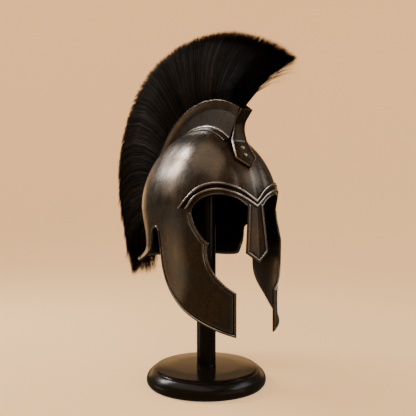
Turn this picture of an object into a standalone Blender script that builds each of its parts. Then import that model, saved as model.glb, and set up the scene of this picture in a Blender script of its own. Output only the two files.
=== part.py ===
"""Greek crested helmet held up by a plain turned display stand.

Metres, +Z up. The origin is the middle of the stand's underside, the post stands on the Z axis and the
helmet faces -Y. The helmet is sheet metal. Each half of its sheet is laid out flat as a pattern, with the
distance round the head along it and the height up it, cut to its outline, and then bent to the bowl.
"""

import math
from functools import lru_cache

import bmesh
import bpy
from mathutils import Vector
from mathutils.geometry import delaunay_2d_cdt

# Stand
BASE_RADIUS = 0.104
BASE_HEIGHT = 0.0293
BASE_TOP_RADIUS = 0.0888
BASE_STEP_HEIGHT = 0.0035
BASE_FOOT_INSET = 0.0040
POST_RADIUS = 0.0166
POST_LENGTH = 0.3690
POST_FOOT_STEP = 0.0006
POST_FOOT_HEIGHT = 0.0024
HEAD_HEIGHT = 0.0400
HEAD_FOOT_STEP = 0.0030
# Sides of the head: taper is 1 at its foot's radius and 0 at its top ring, drop is 1 at its underside
HEAD_SECTION = ((1.0, 1.0), (0.92, 0.72), (0.45, 0.42), (0.10, 0.16), (0.0, 0.0))
SEAT_GAP = 0.0003
HEAD_CLEARANCE = 0.0006

# Bowl of the helmet, sizes of the outer face
SHEET = 0.0017
HALF_WIDTH = 0.0985
FRONT_LENGTH = 0.1275
BACK_LENGTH = 0.1290
CROWN_RISE = 0.1320
FRONT_SQUARENESS = 2.70
BACK_SQUARENESS = 2.35
CROWN_FULLNESS = 1.80
CROWN_FULLER_FRONT = 0.27
CROWN_FULLER_BACK = 0.15

# How the sheet leaves the bowl
FACE_FLARE = 0.0105
FACE_FLARE_START = 0.0760
FACE_FLARE_DROP = 0.1700
CHEEK_TUCK = 0.0060
CHEEK_TUCK_START = 0.0590
CHEEK_TUCK_DROP = 0.0800
CHEEK_HOLLOW = 0.0036
CHEEK_HOLLOW_BEARING = 38.0
CHEEK_HOLLOW_SPREAD = 24.0
CHEEK_HOLLOW_DROP = 0.1560
CHEEK_HOLLOW_HEIGHT = 0.0460
NAPE_PINCH = 0.0080
NAPE_DROP = 0.0640
LIP_FLARE = 0.0145
LIP_HEIGHT = 0.0240
PROW_DEPTH = 0.0045
PROW_HALF_WIDTH = 0.0250
PROW_START = 0.1010
PROW_RUN = 0.0500

# Outline of the sheet: heights are from the widest level of the bowl, bearings in degrees from the front
NASAL_DROP = 0.0875
NASAL_POINT = 0.0159
NASAL_FOOT_BEARING = 9.1
NASAL_ROOT_BEARING = 6.6
EYE_RISE = 0.0172
EYE_DROP = 0.0561
EYE_BEARING = 46.2
MOUTH_DROP = 0.1322
MOUTH_BACK_BEARING = 34.4
CHEEK_FRONT_BEARING = 15.6
CHEEK_DROP = 0.2009
CHEEK_BACK_BEARING = 83.8
NOTCH_DROP = 0.0375
GUARD_BEARING = 98.2
GUARD_DROP = 0.0945
EDGE_WIDTH = 0.0026
EDGE_RAISE = 0.0010

# Eye opening from the nasal round to the cheek: bearing as a share of EYE_BEARING, height as a share of
# the whole opening, 0 at its lowest point and 1 at its top.
EYE_CURVE = (
    (0.142, 0.765),
    (0.284, 0.907),
    (0.447, 0.980),
    (0.605, 1.000),
    (0.763, 0.959),
    (0.897, 0.866),
    (0.983, 0.731),
    (1.000, 0.643),
    (0.988, 0.547),
    (0.948, 0.398),
    (0.878, 0.241),
    (0.795, 0.087),
    (0.718, 0.000),
)
# Mouth gap down to the cheek's front corner: bearing as a share of the way from the front edge back to
# the gap's deepest bearing, height as a share of the way from the eye opening down to the front corner.
MOUTH_CURVE = (
    (0.995, 0.052),
    (1.000, 0.219),
    (0.940, 0.389),
    (0.820, 0.540),
    (0.672, 0.669),
    (0.490, 0.778),
    (0.310, 0.874),
    (0.000, 1.000),
)
# Lower and rear edge of the cheek, from its front corner: bearing as a share of the way from the front
# edge back, height as a share of the way from the lowest corner up to the notch.
CHEEK_CURVE = (
    (0.000, 0.000),
    (0.185, 0.064),
    (0.410, 0.152),
    (0.555, 0.217),
    (0.690, 0.296),
    (0.830, 0.390),
    (0.930, 0.493),
    (0.985, 0.613),
    (1.000, 0.723),
)
# Ear notch and the neck guard's front corner: bearing as a share of the way from the cheek's rear edge to
# the guard's front edge, height as a share of the way from the guard's bottom up to the top of the notch.
NOTCH_CURVE = (
    (0.070, 0.456),
    (0.215, 0.693),
    (0.400, 0.912),
    (0.640, 1.000),
    (0.890, 0.945),
    (0.985, 0.860),
    (1.000, 0.628),
    (1.200, 0.453),
    (1.455, 0.297),
    (1.950, 0.075),
    (2.750, 0.000),
)
GUARD_BOTTOM_BEARINGS = (0.22, 0.42, 0.62, 0.81, 1.00)

# Facets of the sheet
PATTERN_RADIUS = 0.1200
CROWN_PATTERN_RADIUS = 0.1210
EDGE_SPACING = 0.0090
FACE_SPACING = 0.0165
CROWN_TOP_LATITUDE = 78.0
CLEAR_OF_EDGE = 0.0065

# Brow band: two ridges over the eye opening
BROW_WIDTH = 0.0170
BROW_RIDGE_HALF_WIDTH = 0.0024
BROW_RIDGE_RAISE = 0.0018
BROW_V_INNER_RISE = 0.0004
BROW_V_OUTER_RISE = 0.0074
BAND_GAP = 0.0007
# From each of the eye curve's first rows to the inner and to the outer ridge: round the head and up, as
# shares of BROW_WIDTH.
BROW_OFFSETS = (
    (-0.31, 0.36, -0.42, 0.74),
    (-0.32, 0.25, -0.44, 0.71),
    (-0.19, 0.35, -0.31, 0.85),
    (0.02, 0.42, 0.05, 0.94),
    (0.18, 0.40, 0.35, 0.87),
    (0.30, 0.32, 0.66, 0.59),
    (0.59, -0.03, 1.46, -0.02),
)
BROW_STEPS = 18
# Section of the band: across from the outer ridge (0) to the inner ridge (1), then ridge half widths
# further out from the eye, and the raise as a share of the ridges'
BROW_SECTION = (
    (0.0, 1.0, 0.25),
    (0.0, 0.30, 0.95),
    (0.0, -0.40, 0.90),
    (0.33, 0.0, 0.30),
    (0.67, 0.0, 0.25),
    (1.0, 0.40, 0.90),
    (1.0, -0.30, 1.00),
    (1.0, -1.0, 0.30),
)

# Crest holder: its rim is an arc in the middle plane round a centre under the crown, and HOLDER_HEIGHT is
# the rim's least height over the bowl
HOLDER_HEIGHT = 0.0369
RIM_CENTRE_BACK = -0.0240
RIM_CENTRE_DROP = 0.0180
HOLDER_START = 113.6
HOLDER_END = -12.0
HOLDER_HALF_WIDTH = 0.0102
HOLDER_SHEET = 0.0014
HOLDER_FLOOR = 0.0030
RIM_HALF_WIDTH = 0.0150
RIM_COVE_HEIGHT = 0.0170
FOOT_HALF_WIDTH = 0.0210
FOOT_RAISE = 0.0040
FOOT_BEAD = 0.0013
HOLDER_GAP = 0.0008
HOLDER_STATIONS = 22
HOLDER_END_WALL = 1.0
# At its front the rim runs into the strap's lip: it starts further forward, lower and narrower
NOSE_SPAN = 14.0
NOSE_GAP = 0.0023
NOSE_DROP = 0.0027
NOSE_HALF_WIDTH = 0.0120

# Front strap over the plaque. Up is a share of the way from the bowl to the rim at the holder's front end,
# ahead a share of LIP_REACH from that end, and half width a share of STRAP_HALF_WIDTH.
STRAP_THICKNESS = 0.0020
STRAP_HALF_WIDTH = 0.0110
LIP_REACH = 0.0125
STRAP_STATIONS = (
    ("lip", 0.939, 1.000, 1.02),
    ("lip bend", 0.722, 0.592, 1.00),
    ("neck", 0.541, 0.364, 0.96),
    ("waist", 0.330, 0.601, 1.00),
)
# Plaque on the forehead, from its bend to its tip: down is a share of PLAQUE_LENGTH along the sheet, lift a
# share of PLAQUE_LIFT off it, half width and keel shares of the plaque's. The keel is how far its middle
# line stands ahead of its sides.
PLAQUE_TOP_RISE = 0.1000
PLAQUE_LENGTH = 0.0435
PLAQUE_HALF_WIDTH = 0.0210
PLAQUE_KEEL = 0.0016
PLAQUE_GAP = 0.00084
PLAQUE_LIFT = 0.0064
PLAQUE_STATIONS = (
    ("bend", 0.000, 1.000, 0.730, 0.25),
    ("shoulder", 0.624, 0.000, 1.000, 1.00),
    ("tip", 1.000, 0.060, 0.038, 0.00),
)
PLAQUE_BORDER = 0.0035
PLAQUE_BORDER_RAISE = 0.0010
RIVET_RADIUS = 0.0036
RIVET_DOME = 0.0022
RIVET_GAP = 0.0005
RIVET_PLACES = (("rivet_upper", 0.41), ("rivet_lower", 0.84))

# Crest hair: a fan about the rim's centre. Reach is the tip's distance from that centre by its angle.
HAIR_ROOT_START = 112.6
HAIR_ROOT_END = -9.5
HAIR_TIP_START = 128.7
HAIR_TIP_END = -24.0
HAIR_LENGTH = 0.1800
HAIR_ROOT_RAISE = 0.0006
HAIR_HALF_WIDTH = 0.0170
HAIR_SECTORS = 5
HAIR_LOCKS = 6
HAIR_GAP = 0.0004
HAIR_SIDE_GAP = 0.0006
HAIR_REACH = (
    (129.0, 0.583),
    (108.0, 0.593),
    (90.0, 0.638),
    (77.0, 0.701),
    (65.0, 0.797),
    (52.0, 0.912),
    (39.0, 0.987),
    (28.0, 1.000),
    (16.0, 0.983),
    (4.0, 0.893),
    (-7.0, 0.764),
    (-17.0, 0.722),
    (-24.0, 0.722),
)
# Over the rim, from it to the tip: half thickness as a share of HAIR_HALF_WIDTH
HAIR_THICKNESS = (
    (0.08, 0.92),
    (0.34, 1.00),
    (0.62, 0.88),
    (0.84, 0.60),
    (1.00, 0.18),
)
HAIR_SWEEP_POWER = 1.5
HAIR_NOTCH_SHARE = 0.035
HAIR_GROOVE_SHARE = 0.16
HAIR_END_SHARE = 0.45
HAIR_TAPER_SPAN = 9.0

# Places that follow from the sizes above
POST_BOTTOM = BASE_HEIGHT + SEAT_GAP
HEAD_BOTTOM = POST_BOTTOM + POST_LENGTH + SEAT_GAP
APEX = HEAD_BOTTOM + HEAD_HEIGHT + HEAD_CLEARANCE + SHEET
WIDEST_LEVEL = APEX - CROWN_RISE
PATTERN_TOP = CROWN_PATTERN_RADIUS * math.pi / 2
PATTERN_BACK = PATTERN_RADIUS * math.pi
RIM_CENTRE = Vector((0.0, RIM_CENTRE_BACK, WIDEST_LEVEL - RIM_CENTRE_DROP))
TINY = 1e-7


def clear_scene():
    """Empties the scene."""
    for old in list(bpy.data.objects):
        bpy.data.objects.remove(old)


def material(name, colour, roughness, metallic):
    """A Principled material of one colour."""
    made = bpy.data.materials.new(name)
    made.use_nodes = True
    shader = made.node_tree.nodes["Principled BSDF"]
    shader.inputs["Base Color"].default_value = (*colour, 1.0)
    shader.inputs["Roughness"].default_value = roughness
    shader.inputs["Metallic"].default_value = metallic
    return made


def add_object(name, bm, finish, smooth_under=40.0):
    """Turns a bmesh into a named object with outward faces and one material."""
    bmesh.ops.recalc_face_normals(bm, faces=bm.faces)
    if bm.calc_volume(signed=True) < 0:
        bmesh.ops.reverse_faces(bm, faces=bm.faces)
    mesh = bpy.data.meshes.new(name)
    bm.to_mesh(mesh)
    bm.free()
    mesh.materials.append(finish)
    mesh.shade_smooth()
    mesh.set_sharp_from_angle(angle=math.radians(smooth_under))
    made = bpy.data.objects.new(name, mesh)
    bpy.context.scene.collection.objects.link(made)
    return made


def smooth_step(start, run, value):
    """0 up to start and 1 from start + run on, with a soft change between."""
    share = min(max((value - start) / run, 0.0), 1.0)
    return share * share * (3.0 - 2.0 * share)


def between(table, at):
    """Reads a table of (place, value) rows in either order, straight between its rows."""
    rows = sorted(table)
    if at <= rows[0][0]:
        return rows[0][1]
    for (place, value), (next_place, next_value) in zip(rows, rows[1:]):
        if at <= next_place:
            return value + (next_value - value) * (at - place) / (next_place - place)
    return rows[-1][1]


def loft(sections, first_end=None):
    """A closed solid through closed sections of as many points each.

    first_end lists the faces that close the first section, as places in it. Without it the end is flat.
    """
    bm = bmesh.new()
    rings = [[bm.verts.new(point) for point in section] for section in sections]
    count = len(rings[0])
    for ring, following in zip(rings, rings[1:]):
        for i in range(count):
            j = (i + 1) % count
            bm.faces.new((ring[i], ring[j], following[j], following[i]))
    for face in first_end or [range(count)]:
        bm.faces.new([rings[0][i] for i in face][::-1])
    bm.faces.new(rings[-1])
    return bm


def turned(profile, steps):
    """A solid of revolution about Z from (radius, height) points that start and end on the axis."""
    bm = bmesh.new()
    points = [bm.verts.new((radius, 0.0, height)) for radius, height in profile]
    edges = [bm.edges.new(pair) for pair in zip(points, points[1:])]
    bmesh.ops.spin(
        bm,
        geom=points + edges,
        cent=(0.0, 0.0, 0.0),
        axis=(0.0, 0.0, 1.0),
        angle=math.tau,
        steps=steps,
        use_merge=True,
    )
    bmesh.ops.remove_doubles(bm, verts=bm.verts, dist=1e-6)
    return bm


def crown_fullness(bearing):
    """How square the crown's side view is at a bearing from the front."""
    ahead = math.cos(bearing)
    fuller = CROWN_FULLER_FRONT if ahead > 0 else CROWN_FULLER_BACK
    return CROWN_FULLNESS + fuller * ahead * ahead


def cheek_hollow(bearing, height):
    """How far the front half of the cheek dips in under the bowl's shape."""
    aside = abs(math.degrees(bearing)) - CHEEK_HOLLOW_BEARING
    above = height + CHEEK_HOLLOW_DROP
    if abs(aside) >= CHEEK_HOLLOW_SPREAD or abs(above) >= CHEEK_HOLLOW_HEIGHT:
        return 0.0
    across = math.cos(0.5 * math.pi * aside / CHEEK_HOLLOW_SPREAD)
    upright = math.cos(0.5 * math.pi * above / CHEEK_HOLLOW_HEIGHT)
    return CHEEK_HOLLOW * (across * upright) ** 2


def sheet_radius(bearing, height):
    """Distance from the axis to the sheet's outer face at a bearing and a height from the widest level."""
    ahead = math.cos(bearing)
    aside = abs(math.sin(bearing))
    fullness = crown_fullness(bearing)
    up = min(max(height / CROWN_RISE, 0.0), 1.0)
    spread = (1.0 - up**fullness) ** (1.0 / fullness)
    if spread < TINY:
        return 0.0
    tuck = CHEEK_TUCK * smooth_step(CHEEK_TUCK_START, CHEEK_TUCK_DROP, -height)
    half_width = (HALF_WIDTH - tuck * smooth_step(-0.2, 0.2, ahead)) * spread
    if ahead > 0:
        flare = FACE_FLARE * smooth_step(-FACE_FLARE_START, FACE_FLARE_DROP, -height)
        length, squareness = FRONT_LENGTH * spread + flare, FRONT_SQUARENESS
    else:
        length, squareness = BACK_LENGTH * spread, BACK_SQUARENESS
    plan = (aside / half_width) ** squareness + (abs(ahead) / length) ** squareness
    radius = plan ** (-1.0 / squareness) - cheek_hollow(bearing, height)
    pinch = NAPE_PINCH * smooth_step(0.0, NAPE_DROP, -height) * smooth_step(0.25, 0.5, -ahead)
    lip_share = min(max((LIP_HEIGHT - GUARD_DROP - height) / LIP_HEIGHT, 0.0), 1.2)
    lip = LIP_FLARE * lip_share**2 * smooth_step(-0.02, 0.35, -ahead)
    return radius + lip - pinch


def prow(aside, height):
    """How far the upright ridge down the middle of the face stands ahead of the bowl."""
    share = max(0.0, 1.0 - abs(aside) / PROW_HALF_WIDTH)
    return PROW_DEPTH * share * smooth_step(-PROW_START, PROW_RUN, -height)


def at_height(bearing, height, radius):
    """A point of the helmet from its bearing, its height from the widest level and its radius."""
    aside = radius * math.sin(bearing)
    ahead = radius * math.cos(bearing)
    if ahead > 0:
        ahead += prow(aside, height)
    return Vector((aside, -ahead, WIDEST_LEVEL + height))


def pattern_height(bearing, rise):
    """Height from the widest level of a pattern point: straight below it, round the crown above it."""
    if rise <= 0:
        return rise
    latitude = min(rise / CROWN_PATTERN_RADIUS, math.pi / 2)
    fullness = crown_fullness(bearing)
    reach = (math.cos(latitude) ** fullness + math.sin(latitude) ** fullness) ** (-1.0 / fullness)
    return CROWN_RISE * reach * math.sin(latitude)


def on_sheet(bearing, rise):
    """The point of the sheet's outer face at a bearing and a rise up the pattern."""
    height = pattern_height(bearing, rise)
    return at_height(bearing, height, sheet_radius(bearing, height))


def off_sheet(bearing, rise, proud):
    """A point that stands off the sheet's outer face by proud, along the face's normal."""
    step = 1e-4
    if rise >= PATTERN_TOP - step:
        return Vector((0.0, 0.0, APEX + proud))
    here = on_sheet(bearing, rise)
    along = on_sheet(bearing + step, rise) - here
    up = on_sheet(bearing, rise + step * PATTERN_RADIUS) - here
    normal = along.cross(up)
    if abs(here.x) < TINY:
        here.x = normal.x = 0.0
    normal.normalize()
    if normal.y * here.y + normal.x * here.x < 0:
        normal.negate()
    return here + normal * proud


def smooth_path(points, spacing):
    """Points about spacing apart on the smooth curve through the given ones, both ends kept."""
    points = [Vector(point) for point in points]
    path = []
    for i in range(len(points) - 1):
        here, following = points[i], points[i + 1]
        before = points[i - 1] if i else here * 2 - following
        after = points[i + 2] if i + 2 < len(points) else following * 2 - here
        steps = max(1, round((following - here).length / spacing))
        for step in range(steps):
            t = step / steps
            path.append(
                0.5
                * (
                    2 * here
                    + (following - before) * t
                    + (2 * before - 5 * here + 4 * following - after) * t * t
                    + (3 * here - before - 3 * following + after) * t**3
                )
            )
    return path + [points[-1]]


def flat(bearing_degrees, rise):
    """The pattern's point at a bearing in degrees and a rise."""
    return Vector((math.radians(bearing_degrees) * PATTERN_RADIUS, rise))


def eye_path():
    """Edge of the eye opening, from the nasal over the top to its pointed lower corner."""
    height = EYE_RISE + EYE_DROP
    points = [flat(EYE_BEARING * round_, -EYE_DROP + height * up) for round_, up in EYE_CURVE]
    return smooth_path(points, EDGE_SPACING)


def mouth_path():
    """Edge of the mouth gap, from under the eye opening to the cheek's front corner."""
    spread = MOUTH_BACK_BEARING - CHEEK_FRONT_BEARING
    points = [
        flat(CHEEK_FRONT_BEARING + spread * back, -EYE_DROP - (MOUTH_DROP - EYE_DROP) * down)
        for back, down in MOUTH_CURVE
    ]
    return smooth_path(points, EDGE_SPACING)


def cheek_path():
    """Lower and rear edge of the cheek, the ear notch and the neck guard's bottom, to the back."""
    spread = CHEEK_BACK_BEARING - CHEEK_FRONT_BEARING
    rise = CHEEK_DROP - NOTCH_DROP
    points = []
    for back, up in CHEEK_CURVE:
        points.append(flat(CHEEK_FRONT_BEARING + spread * back, -CHEEK_DROP + rise * up))
    spread = GUARD_BEARING - CHEEK_BACK_BEARING
    rise = GUARD_DROP - NOTCH_DROP
    for back, up in NOTCH_CURVE:
        points.append(flat(CHEEK_BACK_BEARING + spread * back, -GUARD_DROP + rise * up))
    last = CHEEK_BACK_BEARING + spread * NOTCH_CURVE[-1][0]
    points += [flat(last + (180.0 - last) * share, -GUARD_DROP) for share in GUARD_BOTTOM_BEARINGS]
    return smooth_path(points, EDGE_SPACING)


def cut_edge():
    """The half pattern's cut edge, from the nasal's tip to the middle of the neck guard's bottom."""
    tip = flat(0.0, -NASAL_DROP)
    foot = flat(NASAL_FOOT_BEARING, NASAL_POINT - NASAL_DROP)
    eye = eye_path()
    mouth = mouth_path()
    nasal = smooth_path((tip, foot), EDGE_SPACING) + smooth_path((foot, eye[0]), EDGE_SPACING)[1:]
    front = smooth_path((mouth[-1], flat(CHEEK_FRONT_BEARING, -CHEEK_DROP)), EDGE_SPACING)[1:-1]
    return nasal + eye[1:] + mouth + front + cheek_path()


def inset(path, distance):
    """The path moved to its left, into the sheet, as if mirrored on past both its ends."""
    first = Vector((2 * path[0].x - path[1].x, path[1].y))
    last = Vector((2 * path[-1].x - path[-2].x, path[-2].y))
    moved = []
    for before, here, after in zip([first] + path[:-1], path, path[1:] + [last]):
        way_in = (here - before).normalized()
        way_out = (after - here).normalized()
        across = Vector((-way_in.y - way_out.y, way_in.x + way_out.x)).normalized()
        widen = max(0.5, across.dot(Vector((-way_in.y, way_in.x))))
        moved.append(here + across * (distance / widen))
    return moved


def crown_rows():
    """Rises of the rows of points over the widest level, and how many spaces each row has."""
    rows = []
    count = round(PATTERN_BACK / FACE_SPACING)
    top = CROWN_PATTERN_RADIUS * math.radians(CROWN_TOP_LATITUDE)
    steps = round(top / FACE_SPACING)
    for step in range(1, steps + 1):
        rise = top * step / steps
        spread = math.cos(rise / CROWN_PATTERN_RADIUS)
        rows.append((rise, max(3, round(count * spread))))
    return rows


def inside(point, path):
    """Whether a pattern point lies inside a closed path."""
    crossings = 0
    for (x1, y1), (x2, y2) in zip(path, path[1:] + path[:1]):
        if (y1 > point.y) != (y2 > point.y) and point.x < x1 + (x2 - x1) * (point.y - y1) / (y2 - y1):
            crossings += 1
    return crossings % 2 == 1


def face_points(border, loop):
    """Points inside the half pattern: rows that thin out up the crown, clear of the border."""
    points = []
    columns = round(PATTERN_BACK / FACE_SPACING)
    for number in range(1, int(CHEEK_DROP / FACE_SPACING) + 1):
        for column in range(columns):
            along = (column + 0.5 * (number % 2)) / columns
            point = Vector((PATTERN_BACK * along, -CHEEK_DROP + FACE_SPACING * number))
            near = min((point - other).length for other in border)
            if TINY < point.x and near > CLEAR_OF_EDGE and inside(point, loop):
                points.append(point)
    for rise, count in crown_rows():
        for column in range(1, count):
            point = Vector((PATTERN_BACK * column / count, rise))
            near = min((point - other).length for other in border)
            if near > CLEAR_OF_EDGE and inside(point, loop):
                points.append(point)
    return points


def midline(side, lowest):
    """Points up one side of the half pattern, from over its lowest point to the last row of the crown."""
    steps = max(2, round(-lowest / FACE_SPACING))
    under = [Vector((side, lowest + (0.0 - lowest) * step / steps)) for step in range(1, steps + 1)]
    return under + [Vector((side, rise)) for rise, _ in crown_rows()]


def half_pattern():
    """Triangles of the half pattern: its points, its faces, and which faces are the raised edge."""
    edge = cut_edge()
    border = inset(edge, EDGE_WIDTH)
    front = midline(0.0, border[0].y)
    back = midline(PATTERN_BACK, border[-1].y)
    apex = Vector((PATTERN_BACK / 2, PATTERN_TOP))
    middle = [border[-1]] + back + [apex] + front[::-1] + [border[0]]
    inner = border[1:-1]
    points = edge + middle + inner
    first_middle, first_inner = len(edge), len(edge) + len(middle)
    whole = list(range(first_inner))
    core = list(range(first_middle, first_inner)) + list(range(first_inner, len(points)))
    loop = [points[i] for i in core]
    points = points + face_points(border, loop)
    last_row = [i for i, point in enumerate(points) if abs(point.y - crown_rows()[-1][0]) < TINY]
    last_row.sort(key=lambda i: points[i].x)
    rings = list(zip(last_row, last_row[1:]))
    found = delaunay_2d_cdt(points, rings, [whole, core], 1, TINY, True)
    kept = [(face, 1 not in owner) for face, owner in zip(found[2], found[5]) if 0 in owner]
    return found[0], [face for face, _ in kept], [on_edge for _, on_edge in kept]


def raised_sheet():
    """The half pattern as a flat sheet in bmesh, with its thickness and its raised edge."""
    corners, faces, on_edge = half_pattern()
    bm = bmesh.new()
    points = [bm.verts.new((corner.x, corner.y, 0.0)) for corner in corners]
    top = [bm.faces.new([points[i] for i in face]) for face in faces]
    under = bmesh.ops.extrude_face_region(bm, geom=top)["geom"]
    for item in under:
        if isinstance(item, bmesh.types.BMVert):
            item.co.z = -SHEET
    edge = [face for face, raised in zip(top, on_edge) if raised]
    raised = bmesh.ops.extrude_face_region(bm, geom=edge)["geom"]
    for item in raised:
        if isinstance(item, bmesh.types.BMVert):
            item.co.z = EDGE_RAISE
    bmesh.ops.delete(bm, geom=edge, context="FACES")
    return bm


def in_middle(point):
    """Whether a pattern point bends onto the helmet's middle plane."""
    on_side = point.x < TINY or point.x > PATTERN_BACK - TINY
    return on_side or point.y > PATTERN_TOP - TINY


def helmet_shell(finish):
    """Skull, nasal, cheeks and neck guard as one sheet."""
    bm = raised_sheet()
    walls = [face for face in bm.faces if all(in_middle(corner.co) for corner in face.verts)]
    bmesh.ops.delete(bm, geom=walls, context="FACES")
    for corner in bm.verts:
        place = corner.co.copy()
        corner.co = off_sheet(place.x / PATTERN_RADIUS, place.y, place.z)
        if in_middle(place):
            corner.co.x = 0.0
    geometry = bm.verts[:] + bm.edges[:] + bm.faces[:]
    bmesh.ops.mirror(bm, geom=geometry, axis="X", merge_dist=0.0)
    bmesh.ops.remove_doubles(bm, verts=bm.verts, dist=2e-6)
    return add_object("helmet_shell", bm, finish)


def even_steps(path, steps):
    """Points that divide a path into steps of one length."""
    lengths = [0.0]
    for here, following in zip(path, path[1:]):
        lengths.append(lengths[-1] + (following - here).length)
    along_x = list(zip(lengths, (point.x for point in path)))
    along_y = list(zip(lengths, (point.y for point in path)))
    places = [lengths[-1] * step / steps for step in range(steps + 1)]
    return [Vector((between(along_x, place), between(along_y, place))) for place in places]


def brow_guides():
    """Triples of the outer ridge's and the inner ridge's pattern points and the way from the eye."""
    inner = [flat(0.0, BROW_V_INNER_RISE)]
    outer = [flat(0.0, BROW_V_OUTER_RISE)]
    height = EYE_RISE + EYE_DROP
    for (round_, up), (inner_x, inner_y, outer_x, outer_y) in zip(EYE_CURVE, BROW_OFFSETS):
        edge = flat(EYE_BEARING * round_, -EYE_DROP + height * up)
        inner.append(edge + Vector((inner_x, inner_y)) * BROW_WIDTH)
        outer.append(edge + Vector((outer_x, outer_y)) * BROW_WIDTH)
    inner = even_steps(smooth_path(inner, 0.25 * EDGE_SPACING), BROW_STEPS)
    outer = even_steps(smooth_path(outer, 0.25 * EDGE_SPACING), BROW_STEPS)
    ways = [Vector((0.0, 1.0))] + [(out - into).normalized() for out, into in zip(outer, inner)][1:]
    return list(zip(outer, inner, ways))


def brow_section(outer, inner, outward):
    """Points of the band's closed section between its two ridges: its face, then its underside."""
    places = []
    for across, out, _ in BROW_SECTION:
        places.append(outer.lerp(inner, across) + outward * (BROW_RIDGE_HALF_WIDTH * out))
    face = [(at, BAND_GAP + BROW_RIDGE_RAISE * row[2]) for at, row in zip(places, BROW_SECTION)]
    under = [(at, BAND_GAP) for at in (places[-1], places[4], places[3], places[0])]
    return [off_sheet(at.x / PATTERN_RADIUS, at.y, proud) for at, proud in face + under]


def brow_band(finish):
    """The double ridge over both eyes, mitred on the midline."""
    half = [brow_section(outer, inner, outward) for outer, inner, outward in brow_guides()]
    other = [[Vector((-point.x, point.y, point.z)) for point in section] for section in half[1:]]
    return add_object("brow_band", loft(other[::-1] + half), finish)


def fan_way(angle):
    """Unit direction from the rim's centre in the middle plane, by its angle from straight back."""
    return Vector((0.0, math.cos(math.radians(angle)), math.sin(math.radians(angle))))


def inside_bowl(point):
    """Whether a point is inside the sheet's outer face."""
    radius = math.hypot(point.x, point.y)
    return radius < sheet_radius(math.atan2(abs(point.x), -point.y), point.z - WIDEST_LEVEL)


@lru_cache(maxsize=None)
def bowl_distance(angle, aside):
    """Distance from the rim's centre to the bowl's outer face, along a fan direction at a side offset."""
    way = fan_way(angle)
    near, far = 0.0, FRONT_LENGTH + BACK_LENGTH
    for _ in range(40):
        middle = 0.5 * (near + far)
        point = RIM_CENTRE + way * middle + Vector((aside, 0.0, 0.0))
        if point.z < WIDEST_LEVEL + CROWN_RISE and inside_bowl(point):
            near = middle
        else:
            far = middle
    return near


@lru_cache(maxsize=None)
def rim_radius():
    """Distance from the rim's centre to the rim: the bowl's furthest along the holder, and over it."""
    span = HOLDER_START - HOLDER_END
    angles = [HOLDER_END + span * step / HOLDER_STATIONS for step in range(HOLDER_STATIONS + 1)]
    return HOLDER_HEIGHT + max(bowl_distance(angle, 0.0) for angle in angles)


def nose_share(angle):
    """How much the holder's rim is drawn into the strap's lip at a fan angle: 1 at its front end."""
    return max(0.0, 1.0 - (HOLDER_START - angle) / NOSE_SPAN) ** 2


def holder_section(angle, hollow):
    """Half section of the holder from the middle of its underside round to the middle of its floor.

    hollow is 1 in the trough and 0 where its end wall closes it.
    """
    wide = HOLDER_HALF_WIDTH
    nose = nose_share(angle)
    brim = RIM_HALF_WIDTH + (NOSE_HALF_WIDTH - RIM_HALF_WIDTH) * nose
    rim = rim_radius() - NOSE_DROP * nose
    flare = brim - wide
    seats = [0.0, 0.5 * wide, wide, 0.5 * (wide + FOOT_HALF_WIDTH), FOOT_HALF_WIDTH]
    under = [(aside, bowl_distance(angle, aside) + HOLDER_GAP) for aside in seats]
    tip = under[-1][1]
    neck = under[2][1] + FOOT_RAISE
    face = [
        (FOOT_HALF_WIDTH, tip + 0.35 * FOOT_RAISE),
        (wide + 0.50 * (FOOT_HALF_WIDTH - wide), 0.5 * (tip + neck) - 0.1 * FOOT_RAISE),
        (wide + 0.9 * FOOT_BEAD, neck - 0.6 * FOOT_BEAD),
        (wide + 1.2 * FOOT_BEAD, neck + 0.4 * FOOT_BEAD),
        (wide, neck + 1.5 * FOOT_BEAD),
        (wide, rim - RIM_COVE_HEIGHT),
        (wide + 0.22 * flare, rim - 0.55 * RIM_COVE_HEIGHT),
        (wide + 0.62 * flare, rim - 0.18 * RIM_COVE_HEIGHT),
        (brim, rim),
    ]
    floor = under[0][1] + HOLDER_FLOOR
    level = rim + 0.15 * HOLDER_SHEET
    inner = [
        (brim - HOLDER_SHEET, level),
        (wide + 0.22 * flare - HOLDER_SHEET, rim - 0.50 * RIM_COVE_HEIGHT),
        (wide - HOLDER_SHEET, rim - RIM_COVE_HEIGHT),
        (wide - HOLDER_SHEET, floor),
    ]
    for i, (aside, up) in enumerate(inner):
        closed = (brim - HOLDER_SHEET) * (1.0 - i / len(inner))
        inner[i] = (closed + (aside - closed) * hollow, level + (up - level) * hollow)
    return under + face + inner + [(0.0, inner[-1][1])]


def trough_end():
    """Faces that close the holder's curved front end, as places in its section: up each wall and the foot."""
    around = 36
    near = [(12, 13, 14, 15), (11, 12, 15), (10, 11, 15, 16), (9, 10, 16, 17)]
    far = [tuple(sorted(around - i for i in face)) for face in near]
    return near + far + [(*range(10), 17, 18, 19, *range(27, around))]


def on_fan(angle, aside, up):
    """A point of the holder: at its front end, the angle runs forward towards the rim."""
    rim = rim_radius()
    foot = 0.78 * rim
    rise = max(0.0, (up - foot) / (rim - foot))
    lean = math.degrees((LIP_REACH - STRAP_THICKNESS - NOSE_GAP) / rim)
    turned_to = angle + lean * nose_share(angle) * rise * rise
    return RIM_CENTRE + fan_way(turned_to) * up + Vector((aside, 0.0, 0.0))


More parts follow.
